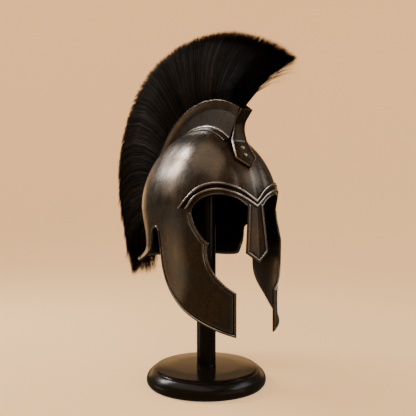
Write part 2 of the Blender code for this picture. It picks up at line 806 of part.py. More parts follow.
def crest_holder(finish):
    """The hollow trough along the crown, open at the top and closed at its rear end."""
    stations = []
    for i in range(HOLDER_STATIONS):
        share = i / (HOLDER_STATIONS - 1)
        stations.append((HOLDER_START + (HOLDER_END - HOLDER_START) * share, 1.0))
    stations += [(HOLDER_END - 0.05, 0.0), (HOLDER_END - HOLDER_END_WALL, 0.0)]
    sections = []
    for angle, hollow in stations:
        half = holder_section(angle, hollow)
        ring = half + [(-aside, up) for aside, up in half[-2:0:-1]]
        sections.append([on_fan(angle, aside, up) for aside, up in ring])
    return add_object("crest_holder", loft(sections, trough_end()), finish)


def strap_rows():
    """The strap's and the plaque's rows from the lip down: middle of the front face, half width, keel."""
    way, ahead_way = fan_way(HOLDER_START), fan_way(HOLDER_START + 90.0)
    foot = bowl_distance(HOLDER_START, 0.0)
    rows = []
    for _, up, ahead, wide in STRAP_STATIONS:
        place = RIM_CENTRE + way * (foot + (rim_radius() - foot) * up) + ahead_way * (LIP_REACH * ahead)
        rows.append((place, STRAP_HALF_WIDTH * wide, 0.0))
    for _, down, lift, wide, ridge in PLAQUE_STATIONS:
        keel = PLAQUE_KEEL * ridge
        proud = STRAP_THICKNESS + PLAQUE_GAP - keel + PLAQUE_LIFT * lift
        place = off_sheet(0.0, PLAQUE_TOP_RISE - PLAQUE_LENGTH * down, proud)
        rows.append((place, PLAQUE_HALF_WIDTH * wide, keel))
    return rows


def strap_section(place, outward, half, keel, on_plaque):
    """Points of the strap's closed section: its front face, bordered on the plaque, then its back."""
    border = min(PLAQUE_BORDER, 0.6 * half) if on_plaque else 0.25 * half
    raised = PLAQUE_BORDER_RAISE if on_plaque else 0.0
    face = [(half, raised), (half - border, raised), (half - 1.15 * border, 0.0)]
    across = [(-aside, up) for aside, up in face] + [(0.0, 0.0)] + face[::-1]
    lifts = [(aside, up + keel * (1.0 - abs(aside) / half)) for aside, up in across]
    lifts += [(half, -STRAP_THICKNESS), (0.0, keel - STRAP_THICKNESS), (-half, -STRAP_THICKNESS)]
    return [place + outward * lift + Vector((aside, 0.0, 0.0)) for aside, lift in lifts]


def strap_sections():
    """Closed sections across the strap and plaque, from the lip down to just over the tip."""
    rows = strap_rows()
    sections = []
    for i, (place, half, keel) in enumerate(rows):
        along = (rows[min(i + 1, len(rows) - 1)][0] - rows[max(i - 1, 0)][0]).normalized()
        outward = Vector((0.0, along.z, -along.y))
        sections.append(strap_section(place, outward, half, keel, i >= len(STRAP_STATIONS)))
    return sections


def crest_strap(finish):
    """The strap up the front of the holder with its lip, and the plaque at its foot."""
    return add_object("crest_strap", loft(strap_sections()), finish)


def rivet(name, share, finish):
    """A domed rivet on the middle line of the plaque, share of the way from its bend to its shoulders."""
    (top, _, top_keel), (low, _, low_keel) = strap_rows()[-3:-1]
    along = (low - top).normalized()
    outward = Vector((0.0, along.z, -along.y))
    keel = top_keel + (low_keel - top_keel) * share
    seat = top.lerp(low, share) + outward * (keel + RIVET_GAP)
    profile = [(0.0, 0.0)]
    for degrees in (0, 30, 60, 90):
        turn = math.radians(degrees)
        profile.append((RIVET_RADIUS * math.cos(turn), RIVET_DOME * math.sin(turn)))
    profile[-1] = (0.0, RIVET_DOME)
    bm = turned(profile, 14)
    made = add_object(name, bm, finish)
    made.location = seat
    made.rotation_euler = outward.to_track_quat("Z", "Y").to_euler()
    return made


def hair_tip_angle(root):
    """Angle that a hair's tip has swept to, from its root's angle."""
    share = (HAIR_ROOT_START - root) / (HAIR_ROOT_START - HAIR_ROOT_END)
    return HAIR_TIP_START + (HAIR_TIP_END - HAIR_TIP_START) * share


def hair_taper(root):
    """How thick the hair is beside its middle's thickness: less near its front and rear edges."""
    inside_edge = min(HAIR_ROOT_START - root, root - HAIR_ROOT_END) / HAIR_TAPER_SPAN
    rounded = math.sin(0.5 * math.pi * min(1.0, max(0.0, inside_edge)))
    return HAIR_END_SHARE + (1.0 - HAIR_END_SHARE) * rounded


def hair_stations(root, reach):
    """Distances from the rim's centre along a hair, and its half thickness at each."""
    start = bowl_distance(root, 0.0) + HOLDER_GAP + HOLDER_FLOOR + HAIR_ROOT_RAISE
    wall = HOLDER_HALF_WIDTH - HOLDER_SHEET - HAIR_SIDE_GAP
    flare = RIM_HALF_WIDTH - HOLDER_HALF_WIDTH
    rim = rim_radius()
    stations = [
        (start, wall),
        (rim - RIM_COVE_HEIGHT, wall),
        (rim - 0.5 * RIM_COVE_HEIGHT, wall + 0.22 * flare - 0.3 * HAIR_SIDE_GAP),
        (rim + 2.0 * HAIR_SIDE_GAP, wall + flare),
    ]
    for share, thick in HAIR_THICKNESS:
        stations.append((rim + (reach - rim) * share, HAIR_HALF_WIDTH * thick))
    return stations


def hair_strand(root, side, lock):
    """Points of the crest's hair from root to tip, by its root angle, side and place in its lock."""
    tip = hair_tip_angle(root)
    reach = rim_radius() + HAIR_LENGTH * (between(HAIR_REACH, tip) - HAIR_NOTCH_SHARE * (1.0 - lock))
    stations = hair_stations(root, reach)
    start = stations[0][0]
    points = []
    for distance, thick in stations:
        share = (distance - start) / (reach - start)
        angle = root + (tip - root) * share**HAIR_SWEEP_POWER
        thick *= hair_taper(root) * (1.0 - HAIR_GROOVE_SHARE * (1.0 - lock) * min(1.0, 2.0 * share))
        points.append(RIM_CENTRE + fan_way(angle) * distance + Vector((side * thick, 0.0, 0.0)))
    return points


def hair_sector(number, finish):
    """One sector of the fan: a backing with its locks fused to it, each a ridge with a pointed tip."""
    span = (HAIR_ROOT_START - HAIR_ROOT_END) / HAIR_SECTORS
    gap = math.degrees(HAIR_GAP / rim_radius())
    first = HAIR_ROOT_START - span * number - gap
    last = HAIR_ROOT_START - span * (number + 1) + gap
    columns = 2 * HAIR_LOCKS
    bm = bmesh.new()
    sides = []
    for side in (-1.0, 1.0):
        grid = []
        for column in range(columns + 1):
            root = first + (last - first) * column / columns
            grid.append([bm.verts.new(point) for point in hair_strand(root, side, float(column % 2))])
        sides.append(grid)
    near, far = sides
    rows = len(near[0])
    for i in range(columns):
        for j in range(rows - 1):
            bm.faces.new((near[i][j], near[i + 1][j], near[i + 1][j + 1], near[i][j + 1]))
            bm.faces.new((far[i][j], far[i][j + 1], far[i + 1][j + 1], far[i + 1][j]))
        bm.faces.new((near[i][0], far[i][0], far[i + 1][0], near[i + 1][0]))
        bm.faces.new((near[i][-1], near[i + 1][-1], far[i + 1][-1], far[i][-1]))
    for i in (0, columns):
        for j in range(rows - 1):
            bm.faces.new((near[i][j], near[i][j + 1], far[i][j + 1], far[i][j]))
    return add_object(f"crest_hair_{number + 1}", bm, finish)


def stand_base(finish):
    """Round base: a stepped top over a rounded rim."""
    rim = BASE_HEIGHT - BASE_STEP_HEIGHT
    bulge = BASE_RADIUS - BASE_TOP_RADIUS
    profile = [
        (0.0, 0.0),
        (BASE_RADIUS - BASE_FOOT_INSET, 0.0),
        (BASE_RADIUS - 0.2 * BASE_FOOT_INSET, 0.16 * rim),
        (BASE_RADIUS, 0.42 * rim),
        (BASE_RADIUS - 0.18 * bulge, 0.68 * rim),
        (BASE_RADIUS - 0.62 * bulge, 0.94 * rim),
        (BASE_TOP_RADIUS, rim),
        (BASE_TOP_RADIUS, BASE_HEIGHT - 0.25 * BASE_STEP_HEIGHT),
        (BASE_TOP_RADIUS - 0.25 * BASE_STEP_HEIGHT, BASE_HEIGHT),
        (0.0, BASE_HEIGHT),
    ]
    return add_object("stand_base", turned(profile, 48), finish, 25.0)


def stand_post(finish):
    """Round post with a thin collar line at its foot."""
    top = POST_BOTTOM + POST_LENGTH
    collar = POST_BOTTOM + POST_FOOT_HEIGHT
    profile = [
        (0.0, POST_BOTTOM),
        (POST_RADIUS + POST_FOOT_STEP, POST_BOTTOM),
        (POST_RADIUS + POST_FOOT_STEP, collar - POST_FOOT_STEP),
        (POST_RADIUS, collar),
        (POST_RADIUS, top),
        (0.0, top),
    ]
    return add_object("stand_post", turned(profile, 32), finish, 25.0)


def stand_head(finish):
    """Turned cap on the post: its top follows the inside of the crown, its foot tapers to the post."""
    rise, count = crown_rows()[-1]
    under = -SHEET - HEAD_CLEARANCE
    top = [off_sheet(math.pi * i / count, rise, under) for i in range(2 * count)]
    foot_radius = POST_RADIUS + HEAD_FOOT_STEP
    rings = []
    for taper, drop in HEAD_SECTION:
        ring = []
        for point in top:
            radius = math.hypot(point.x, point.y)
            scale = 1.0 + (foot_radius / radius - 1.0) * taper
            height = point.z + (HEAD_BOTTOM - point.z) * drop
            ring.append(Vector((point.x * scale, point.y * scale, height)))
        rings.append(ring)
    bm = loft(rings)
    last = max(bm.faces, key=lambda face: face.calc_center_median().z)
    centre = bmesh.ops.poke(bm, faces=[last])["verts"][0]
    centre.co = Vector((0.0, 0.0, HEAD_BOTTOM + HEAD_HEIGHT))
    return add_object("stand_head", bm, finish)


def main():
    clear_scene()
    bronze = material("dark_bronze", (0.070, 0.055, 0.042), 0.38, 1.0)
    edge_bronze = material("rubbed_bronze", (0.130, 0.095, 0.065), 0.36, 1.0)
    brass = material("dull_brass", (0.280, 0.190, 0.100), 0.40, 1.0)
    hair = material("black_hair", (0.010, 0.009, 0.008), 0.55, 0.0)
    lacquer = material("black_lacquer", (0.008, 0.007, 0.006), 0.18, 0.0)
    helmet_shell(bronze)
    brow_band(edge_bronze)
    crest_holder(bronze)
    crest_strap(edge_bronze)
    for name, share in RIVET_PLACES:
        rivet(name, share, brass)
    for number in range(HAIR_SECTORS):
        hair_sector(number, hair)
    stand_base(lacquer)
    stand_post(lacquer)
    stand_head(lacquer)


main()
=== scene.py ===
"""Looks of the Greek crested helmet and of its display stand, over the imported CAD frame.

Everything is in metres in the CAD's own frame: the stand's underside is at Z 0, its post stands on
the Z axis and the helmet faces -Y. The helmet's sheet is laid out flat as a pattern, with the way
round the head along it and the height up it, and then bent to the bowl. The crest's parts are laid
out on a fan, by the angle from straight back round the centre of the crest's rim.
"""

from __future__ import annotations

import logging
import math
from dataclasses import dataclass, field
from enum import Enum

import bmesh
import bpy
import numpy as np
from mathutils import Matrix, Vector
from mathutils.geometry import delaunay_2d_cdt

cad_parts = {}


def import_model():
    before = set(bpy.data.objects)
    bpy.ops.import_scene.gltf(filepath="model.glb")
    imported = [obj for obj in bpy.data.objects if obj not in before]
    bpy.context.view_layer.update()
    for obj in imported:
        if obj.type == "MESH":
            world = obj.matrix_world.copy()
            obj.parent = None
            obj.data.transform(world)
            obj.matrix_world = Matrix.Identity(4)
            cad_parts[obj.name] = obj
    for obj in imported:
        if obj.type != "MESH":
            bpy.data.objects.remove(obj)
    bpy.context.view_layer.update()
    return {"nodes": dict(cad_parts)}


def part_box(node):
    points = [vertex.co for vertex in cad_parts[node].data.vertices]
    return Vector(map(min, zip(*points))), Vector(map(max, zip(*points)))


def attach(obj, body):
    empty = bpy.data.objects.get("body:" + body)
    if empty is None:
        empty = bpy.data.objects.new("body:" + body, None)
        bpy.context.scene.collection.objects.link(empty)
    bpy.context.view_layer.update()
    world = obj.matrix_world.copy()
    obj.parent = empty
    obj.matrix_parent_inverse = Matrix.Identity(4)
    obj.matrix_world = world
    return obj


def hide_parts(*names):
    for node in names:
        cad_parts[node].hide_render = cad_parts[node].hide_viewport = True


LOG = logging.getLogger("helmet")
SEED = 20
PHOTO_WIDTH = 416
MERGE_DISTANCE = 1e-6
ON_MIDDLE = 1e-7
Colour = tuple[float, float, float]
Rows = tuple[tuple[float, ...], ...]


def smooth_step(start: float, run: float, value: np.ndarray) -> np.ndarray:
    """A number made 0 up to start and 1 from start + run on, with a soft change between."""
    share = np.clip((np.asarray(value, float) - start) / run, 0.0, 1.0)
    return share * share * (3.0 - 2.0 * share)


def bump_at(place: float, spread: float, value: np.ndarray) -> np.ndarray:
    """1 at place and 0 from spread away on, with a soft change between."""
    return 1.0 - smooth_step(0.0, spread, np.abs(np.asarray(value, float) - place))


def through(rows: np.ndarray, steps: int) -> np.ndarray:
    """A smooth curve through rows of numbers.

    Args:
        rows: One row of values per point.
        steps: Spaces to cut each stretch between two rows into.

    Returns:
        The curve's rows, both ends kept.
    """
    rows = np.asarray(rows, float)
    ends = np.vstack([2 * rows[0] - rows[1], rows, 2 * rows[-1] - rows[-2]])
    made = []
    for before, here, following, after in zip(ends, ends[1:], ends[2:], ends[3:]):
        t = (np.arange(steps) / steps)[:, None]
        made.append(
            0.5
            * (
                2 * here
                + (following - before) * t
                + (2 * before - 5 * here + 4 * following - after) * t**2
                + (3 * here - before - 3 * following + after) * t**3
            )
        )
    return np.vstack([*made, rows[-1:]])


def at_spacing(path: np.ndarray, spacing: float) -> np.ndarray:
    """Points of about this spacing along a path, both ends kept."""
    whole = np.linalg.norm(np.diff(path, axis=0), axis=1).sum()
    return in_steps(path, max(1, round(whole / spacing)))


def in_steps(path: np.ndarray, steps: int) -> np.ndarray:
    """Points that cut a path into equal steps, both ends kept.

    Args:
        path: One row per point.
        steps: How many steps.

    Returns:
        One row per point, steps + 1 in all.
    """
    lengths = np.concatenate([[0.0], np.cumsum(np.linalg.norm(np.diff(path, axis=0), axis=1))])
    places = np.linspace(0.0, lengths[-1], steps + 1)
    return np.column_stack([np.interp(places, lengths, column) for column in path.T])


@dataclass(frozen=True)
class Bowl:
    """Shape of the helmet's outer face: its radius from the Z axis by bearing and height.

    Heights are from the widest level. Bearings are in radians from the front.
    """

    widest_level: float
    half_width: float = 0.0985
    front_length: float = 0.1275
    back_length: float = 0.1290
    crown_rise: float = 0.1320
    pattern_radius: float = 0.1200
    crown_pattern_radius: float = 0.1210
    side_power: float = 1.80
    front_power: float = 0.27
    back_power: float = 0.15
    front_square: float = 2.70
    back_square: float = 2.35
    hollow_depth: float = 0.0036
    hollow_bearing: float = 38.0
    hollow_spread: float = 24.0
    hollow_drop: float = 0.1560
    hollow_reach: float = 0.0460
    cheek_tuck: float = 0.0060
    cheek_flare: float = 0.0105
    nape_pinch: float = 0.0080
    guard_drop: float = 0.0945
    guard_height: float = 0.0240
    guard_flare: float = 0.0145
    prow_depth: float = 0.0045
    prow_half_width: float = 0.0250

    @property
    def pattern_top(self) -> float:
        """Rise of the pattern at the crown's top."""
        return self.crown_pattern_radius * math.pi / 2

    @property
    def pattern_back(self) -> float:
        """Distance along the pattern from the front to the back."""
        return self.pattern_radius * math.pi

    def fullness(self, bearing: np.ndarray) -> np.ndarray:
        """How square the crown's side view is."""
        ahead = np.cos(bearing)
        return self.side_power + np.where(ahead > 0, self.front_power, self.back_power) * ahead**2

    def hollow(self, bearing: np.ndarray, height: np.ndarray) -> np.ndarray:
        """How far the front half of the cheek dips in.

        Args:
            bearing: Bearings from the front.
            height: Heights from the widest level.

        Returns:
            One depth per pair.
        """
        off_middle = np.abs(np.abs(np.degrees(bearing)) - self.hollow_bearing)
        aside = np.clip(off_middle / self.hollow_spread, 0.0, 1.0)
        above = np.clip(np.abs(height + self.hollow_drop) / self.hollow_reach, 0.0, 1.0)
        return self.hollow_depth * (np.cos(0.5 * np.pi * aside) * np.cos(0.5 * np.pi * above)) ** 2

    def radius(self, bearing: np.ndarray, height: np.ndarray) -> np.ndarray:
        """Distance from the axis to the outer face.

        Args:
            bearing: Bearings from the front.
            height: Heights from the widest level.

        Returns:
            One radius per pair.
        """
        ahead, aside = np.cos(bearing), np.abs(np.sin(bearing))
        power = self.fullness(bearing)
        up = np.clip(height / self.crown_rise, 0.0, 1.0)
        spread = np.maximum(1.0 - up**power, 0.0) ** (1.0 / power)
        tuck = smooth_step(0.0590, 0.0800, -height) * smooth_step(-0.2, 0.4, ahead)
        half_width = np.maximum((self.half_width - self.cheek_tuck * tuck) * spread, 1e-9)
        flare = self.cheek_flare * smooth_step(-0.0760, 0.1700, -height)
        front = ahead > 0
        length = np.where(front, self.front_length * spread + flare, self.back_length * spread)
        length = np.maximum(length, 1e-9)
        square = np.where(front, self.front_square, self.back_square)
        plan = (aside / half_width) ** square + (np.abs(ahead) / length) ** square
        radius = plan ** (-1.0 / square) - self.hollow(bearing, height)
        pinch = smooth_step(0.0, 0.0640, -height) * smooth_step(0.25, 0.5, -ahead)
        under = (self.guard_height - self.guard_drop - height) / self.guard_height
        guard = np.clip(under, 0.0, 1.2) ** 2 * smooth_step(-0.02, 0.35, -ahead)
        radius = radius + self.guard_flare * guard - self.nape_pinch * pinch
        return np.where(spread > 1e-7, radius, 0.0)

    def height(self, bearing: np.ndarray, rise: np.ndarray) -> np.ndarray:
        """Height of a pattern point: straight below the widest level, round the crown above it.

        Args:
            bearing: Bearings from the front.
            rise: Rises up the pattern.

        Returns:
            One height per pair.
        """
        latitude = np.clip(rise / self.crown_pattern_radius, 0.0, math.pi / 2)
        power = self.fullness(bearing)
        reach = (np.cos(latitude) ** power + np.sin(latitude) ** power) ** (-1.0 / power)
        return np.where(rise > 0, self.crown_rise * reach * np.sin(latitude), rise)

    def on(self, bearing: np.ndarray, rise: np.ndarray) -> np.ndarray:
        """Points of the outer face, with the upright ridge down the middle of the face.

        Args:
            bearing: Bearings from the front.
            rise: Rises up the pattern.

        Returns:
            One row of X, Y and Z per pair.
        """
        height = self.height(bearing, rise)
        radius = self.radius(bearing, height)
        aside, ahead = radius * np.sin(bearing), radius * np.cos(bearing)
        prow = np.maximum(0.0, 1.0 - np.abs(aside) / self.prow_half_width)
        prow = prow * smooth_step(-0.1010, 0.0500, -height)
        ahead = ahead + np.where(ahead > 0, self.prow_depth * prow, 0.0)
        return np.stack([aside, -ahead, self.widest_level + height], axis=-1)

    def off(self, bearing: np.ndarray, rise: np.ndarray, proud: np.ndarray) -> np.ndarray:
        """Points that stand proud of the outer face, along its normal.

        Args:
            bearing: Bearings from the front.
            rise: Rises up the pattern.
            proud: Distances out from the face.

        Returns:
            One row of X, Y and Z per point.
        """
        bearing, rise = np.asarray(bearing, float), np.asarray(rise, float)
        step = 1e-4
        rise = np.minimum(rise, self.pattern_top - 2e-5)
        here = self.on(bearing, rise)
        lower = rise - step * self.pattern_radius
        along = self.on(bearing + step, rise) - self.on(bearing - step, rise)
        normal = np.cross(along, here - self.on(bearing, lower))
        normal /= np.maximum(np.linalg.norm(normal, axis=-1, keepdims=True), 1e-12)
        outward = (normal[..., :2] * here[..., :2]).sum(-1, keepdims=True)
        normal = np.where(outward < 0, -normal, normal)
        crown = (rise > self.pattern_top - 2e-3)[..., None]
        normal = np.where(crown, np.array([0.0, 0.0, 1.0]), normal)
        return here + normal * np.asarray(proud, float)[..., None]


@dataclass(frozen=True)
class Fan:
    """Polar places in the helmet's middle plane, round the centre of the crest's rim.

    Angles are in degrees from straight back over the top.
    """

    bowl: Bowl
    start: float = 113.6
    end: float = -12.0
    holder_height: float = 0.0369
    centre_back: float = -0.0240
    centre_drop: float = 0.0180
    search_reach: float = 0.26
    halvings: int = 36
    rim_steps: int = 22

    @property
    def centre(self) -> np.ndarray:
        """Centre of the rim's arc."""
        return np.array([0.0, self.centre_back, self.bowl.widest_level - self.centre_drop])

    def way(self, angle: np.ndarray) -> np.ndarray:
        """Unit directions from the centre."""
        turn = np.radians(angle)
        return np.stack([np.zeros_like(turn), np.cos(turn), np.sin(turn)], axis=-1)

    def place(self, angle: np.ndarray, aside: np.ndarray, up: np.ndarray) -> np.ndarray:
        """Points on the fan or beside it.

        Args:
            angle: Angles on the fan.
            aside: Side offsets.
            up: Distances from the centre.

        Returns:
            One row of X, Y and Z per point.
        """
        aside = np.asarray(aside, float)
        side = np.stack([aside, np.zeros_like(aside), np.zeros_like(aside)], axis=-1)
        return self.centre + self.way(angle) * np.asarray(up, float)[..., None] + side

    def bowl_distance(self, angle: np.ndarray, aside: np.ndarray) -> np.ndarray:
        """Distances from the centre out to the bowl's outer face, along the fan.

        Args:
            angle: Angles on the fan.
            aside: Side offsets, of the same shape.

        Returns:
            One distance per pair.
        """
        angle, aside = np.broadcast_arrays(np.asarray(angle, float), np.asarray(aside, float))
        near, far = np.zeros_like(angle), np.full_like(angle, self.search_reach)
        for _ in range(self.halvings):
            middle = 0.5 * (near + far)
            point = self.place(angle, aside, middle)
            height = point[..., 2] - self.bowl.widest_level
            bearing = np.arctan2(np.abs(point[..., 0]), -point[..., 1])
            out = np.hypot(point[..., 0], point[..., 1])
            inside = (height < self.bowl.crown_rise) & (out < self.bowl.radius(bearing, height))
            near, far = np.where(inside, middle, near), np.where(inside, far, middle)
        return near

    def rim(self) -> float:
        """Distance from the centre to the rim."""
        steps = np.arange(self.rim_steps + 1)
        angles = self.end + (self.start - self.end) * steps / self.rim_steps
        return self.holder_height + float(self.bowl_distance(angles, np.zeros(len(steps))).max())


class ShaderTree:
    """A material's node tree, built one call after another round its Principled shader."""

    def __init__(self, name: str) -> None:
        """Makes a material with a Principled shader alone.

        Args:
            name: The material's name.
        """
        self.material = bpy.data.materials.new(name)
        self.material.use_nodes = True
        self.tree = self.material.node_tree
        self.shader = self.tree.nodes["Principled BSDF"]

    def add(self, kind: str, inputs: dict, **settings: object) -> bpy.types.Node:
        """Adds a node.

        Args:
            kind: The node's type name, without the leading ShaderNode.
            inputs: A value or an output socket for each named or numbered input.
            **settings: The node's own properties.

        Returns:
            The node.
        """
        node = self.tree.nodes.new("ShaderNode" + kind)
        for key, value in settings.items():
            setattr(node, key, value)
        for key, value in inputs.items():
            self.feed(node.inputs[key], value)
        return node

    def feed(self, socket: bpy.types.NodeSocket, value: object) -> None:
        """Links an output to a socket, or sets the socket's value.

        Args:
            socket: The input socket.
            value: An output socket, a colour or a number.
        """
        if isinstance(value, bpy.types.NodeSocket):
            self.tree.links.new(value, socket)
        elif isinstance(value, tuple) and socket.type == "RGBA":
            socket.default_value = (*value[:3], 1.0)
        else:
            socket.default_value = value

    def set(self, **inputs: object) -> None:
        """Feeds the Principled shader's inputs, named with _ for each space."""
        for key, value in inputs.items():
            self.feed(self.shader.inputs[key.replace("_", " ")], value)

    def where(
        self, scale: tuple[float, float, float] = (1.0, 1.0, 1.0)
    ) -> bpy.types.NodeSocket:
        """Object coordinates, scaled along each axis."""
        place = self.add("TexCoord", {}).outputs["Object"]
        return self.add("Mapping", {"Vector": place, "Scale": scale}).outputs["Vector"]

    def attribute(self, name: str) -> bpy.types.NodeSocket:
        """A mesh attribute's number."""
        return self.add("Attribute", {}, attribute_name=name).outputs["Fac"]

    def noise(
        self, place: bpy.types.NodeSocket, scale: float, detail: float, rough: float
    ) -> bpy.types.NodeSocket:
        """Fractal noise.

        Args:
            place: Its coordinates.
            scale: Blotches per metre, about.
            detail: Octaves of finer noise.
            rough: How strong the finer noise is.

        Returns:
            A number from 0 to 1.
        """
        node = self.add(
            "TexNoise", {"Vector": place, "Scale": scale, "Detail": detail, "Roughness": rough}
        )
        return node.outputs["Fac"]

    def ramp(self, value: object, low: float, high: float) -> bpy.types.NodeSocket:
        """A number made 0 at low and 1 at high, clamped and soft between.

        Args:
            value: The number.
            low: Where it becomes 0.
            high: Where it becomes 1.

        Returns:
            A number from 0 to 1.
        """
        node = self.add(
            "MapRange",
            {"Value": value, "From Min": low, "From Max": high},
            interpolation_type="SMOOTHSTEP",
        )
        return node.outputs["Result"]

    def scaled(self, value: object, low: float, high: float) -> bpy.types.NodeSocket:
        """A number from 0 to 1 taken to the stretch from low to high."""
        node = self.add("MapRange", {"Value": value, "To Min": low, "To Max": high})
        return node.outputs["Result"]

    def maths(self, operation: str, first: object, second: object = 0.0) -> bpy.types.NodeSocket:
        """One sum of two numbers."""
        return self.add("Math", {0: first, 1: second}, operation=operation).outputs[0]

    def mix(self, share: object, first: object, second: object) -> bpy.types.NodeSocket:
        """A blend of two colours."""
        node = self.add("Mix", {0: share, 6: first, 7: second}, data_type="RGBA")
        return node.outputs[2]

    def bump(
        self, height: object, strength: float, distance: float, under: object = None
    ) -> bpy.types.NodeSocket:
        """A bumped normal over another one.

        Args:
            height: The bump's height, from 0 to 1.
            strength: How strongly it shows.
            distance: How far 1 stands over 0, in metres.
            under: The normal under it.

        Returns:
            The normal.
        """
        node = self.add("Bump", {"Height": height, "Strength": strength, "Distance": distance})
        if under is not None:
            self.feed(node.inputs["Normal"], under)
        return node.outputs["Normal"]


@dataclass(frozen=True)
class AntiquedMetal:
    """Dark metal with a mottled patina, fine brushing, and bare metal where its edges are worn,
    which also carries painted highlights.

    It reads three attributes: one for the worn edges with their painted highlights, one for painted
    shade in grooves, recesses and under parts, and inner, for the painted shade over the inside of
    the sheet.
    """

    name: str
    body: Colour
    patina: Colour
    # Colour of the worn edges, also used as painted highlight.
    rubbed_and_lit: Colour
    copper: Colour
    roughness: float = 0.27
    # Painted shade: the near-black colour laid over the inside of the sheet.
    inner: Colour = (0.006, 0.005, 0.004)
    # Bare metal on the most worn edges, also the brightest painted highlight.
    bare: Colour = (0.56, 0.52, 0.47)
    # Painted shade in grooves, recesses and under parts.
    painted_shade_colour: Colour = (0.010, 0.007, 0.0045)

    def patinated(
        self,
        t: ShaderTree,
        cloud: bpy.types.NodeSocket,
        mottle: bpy.types.NodeSocket,
        streak: bpy.types.NodeSocket,
    ) -> bpy.types.NodeSocket:
        """Colour of the open face: clouds of patina, dark blotches, and a few flecks of copper.

        Args:
            t: The material's tree.
            cloud: Broad noise.
            mottle: Noise the size of the blotches.
            streak: Brushed noise.

        Returns:
            The colour.
        """
        dark = tuple(0.60 * part for part in self.body)
        colour = t.mix(t.ramp(cloud, 0.38, 0.66), self.body, self.patina)
        colour = t.mix(t.scaled(t.ramp(mottle, 0.30, 0.62), 0.38, 0.0), colour, dark)
        colour = t.mix(t.scaled(t.ramp(streak, 0.35, 0.65), 0.0, 0.18), colour, self.patina)
        speckle = t.noise(t.where(), 330.0, 3.0, 0.7)
        colour = t.mix(t.scaled(t.ramp(speckle, 0.32, 0.62), 0.32, 0.0), colour, dark)
        fleck = t.ramp(t.noise(t.where((0.6, 0.6, 2.2)), 95.0, 3.0, 0.5), 0.63, 0.76)
        fleck = t.maths("MULTIPLY", fleck, t.scaled(t.ramp(cloud, 0.46, 0.62), 0.0, 0.70))
        return t.mix(fleck, colour, self.copper)

    def polished(self, t: ShaderTree, wear_and_highlight: bpy.types.NodeSocket) -> bpy.types.NodeSocket:
        """Colour of the worn edges, which are also painted highlights, bare where both are
        strongest.

        Args:
            t: The material's tree.
            wear_and_highlight: How worn the metal is, with painted highlight in the same share.

        Returns:
            The colour.
        """
        tint = t.ramp(t.noise(t.where(), 34.0, 3.0, 0.5), 0.50, 0.70)
        metal = t.mix(tint, self.rubbed_and_lit, self.copper)
        return t.mix(t.ramp(wear_and_highlight, 0.72, 0.95), metal, self.bare)

    def material(self) -> bpy.types.Material:
        """The finished material."""
        t = ShaderTree(self.name)
        place, brushed = t.where(), t.where((1.0, 1.0, 0.12))
        cloud = t.noise(place, 16.0, 5.0, 0.6)
        mottle = t.noise(place, 70.0, 6.0, 0.65)
        streak = t.noise(brushed, 120.0, 4.0, 0.6)
        grain = t.noise(brushed, 620.0, 3.0, 0.7)
        wear_and_highlight, painted_shade, inside = t.attribute("wear_and_highlight"), t.attribute("painted_shade"), t.attribute("inner")
        broken = t.ramp(t.noise(place, 260.0, 4.0, 0.6), 0.25, 0.62)
        # Worn edges, which also carry painted highlights, broken up by noise.
        worn_and_lit = t.maths("MULTIPLY", wear_and_highlight, t.scaled(broken, 0.68, 1.0))
        colour = t.mix(worn_and_lit, self.patinated(t, cloud, mottle, streak), self.polished(t, wear_and_highlight))
        # Painted shade in grooves, recesses and under parts, a little streaky.
        shade_strength = t.scaled(t.ramp(streak, 0.30, 0.70), 0.72, 0.94)
        colour = t.mix(t.maths("MULTIPLY", painted_shade, shade_strength), colour, self.painted_shade_colour)
        # Painted shade: the inside of the sheet darkened to near black.
        colour = t.mix(inside, colour, self.inner)
        halves = [t.maths("MULTIPLY", part, 0.5) for part in (mottle, streak)]
        rough = t.scaled(t.maths("ADD", *halves), 0.0, 1.0)
        rough = t.scaled(t.ramp(rough, 0.35, 0.65), self.roughness - 0.03, self.roughness + 0.07)
        rough = t.maths("SUBTRACT", rough, t.maths("MULTIPLY", worn_and_lit, 0.06))
        rough = t.maths("ADD", rough, t.maths("MULTIPLY", inside, 0.30))
        rough = t.maths("ADD", rough, t.maths("MULTIPLY", painted_shade, 0.02))
        normal = t.bump(cloud, 0.05, 0.004)
        normal = t.bump(mottle, 0.075, 0.0008, normal)
        normal = t.bump(grain, 0.10, 0.0002, normal)
        t.set(Base_Color=colour, Roughness=rough, Metallic=0.92, Normal=normal)
        return t.material


@dataclass(frozen=True)
class CastMetal:
    """Small dull metal pieces such as rivets."""

    name: str
    body: Colour
    tarnish: Colour
    roughness: float = 0.34

    def material(self) -> bpy.types.Material:
        """The finished material."""
        t = ShaderTree(self.name)
        place = t.where()
        spots = t.noise(place, 420.0, 5.0, 0.6)
        colour = t.mix(t.ramp(spots, 0.38, 0.62), self.body, self.tarnish)
        rough = t.scaled(spots, self.roughness - 0.06, self.roughness + 0.14)
        t.set(Base_Color=colour, Roughness=rough, Metallic=1.0)
        t.set(Normal=t.bump(spots, 0.2, 0.0004))
        return t.material


@dataclass(frozen=True)
class BrushHair:
    """Black horsehair, each strand with its own tone and its own faint shine, with painted shade
    towards the roots and at the brush's front end.
    """

    name: str
    dark: Colour = (0.0014, 0.0012, 0.0011)
    light: Colour = (0.0215, 0.0190, 0.0168)

    def material(self) -> bpy.types.Material:
        """The finished material, which reads two attributes: each strand's tone with painted shade,
        and how far along its strand a point is.
        """
        t = ShaderTree(self.name)
        tone_and_shade, along = t.attribute("tone_and_shade"), t.attribute("along")
        # Painted shade: strands darker towards their roots.
        lit = t.maths("MULTIPLY", t.ramp(tone_and_shade, 0.30, 1.0), t.ramp(along, 0.0, 0.55))
        colour = t.mix(lit, self.dark, self.light)
        rough = t.scaled(tone_and_shade, 0.62, 0.40)
        t.set(Base_Color=colour, Roughness=rough, Specular_IOR_Level=0.015)
        streak = t.noise(t.where(), 900.0, 2.0, 0.5)
        t.set(Normal=t.bump(streak, 0.25, 0.0004))
        return t.material


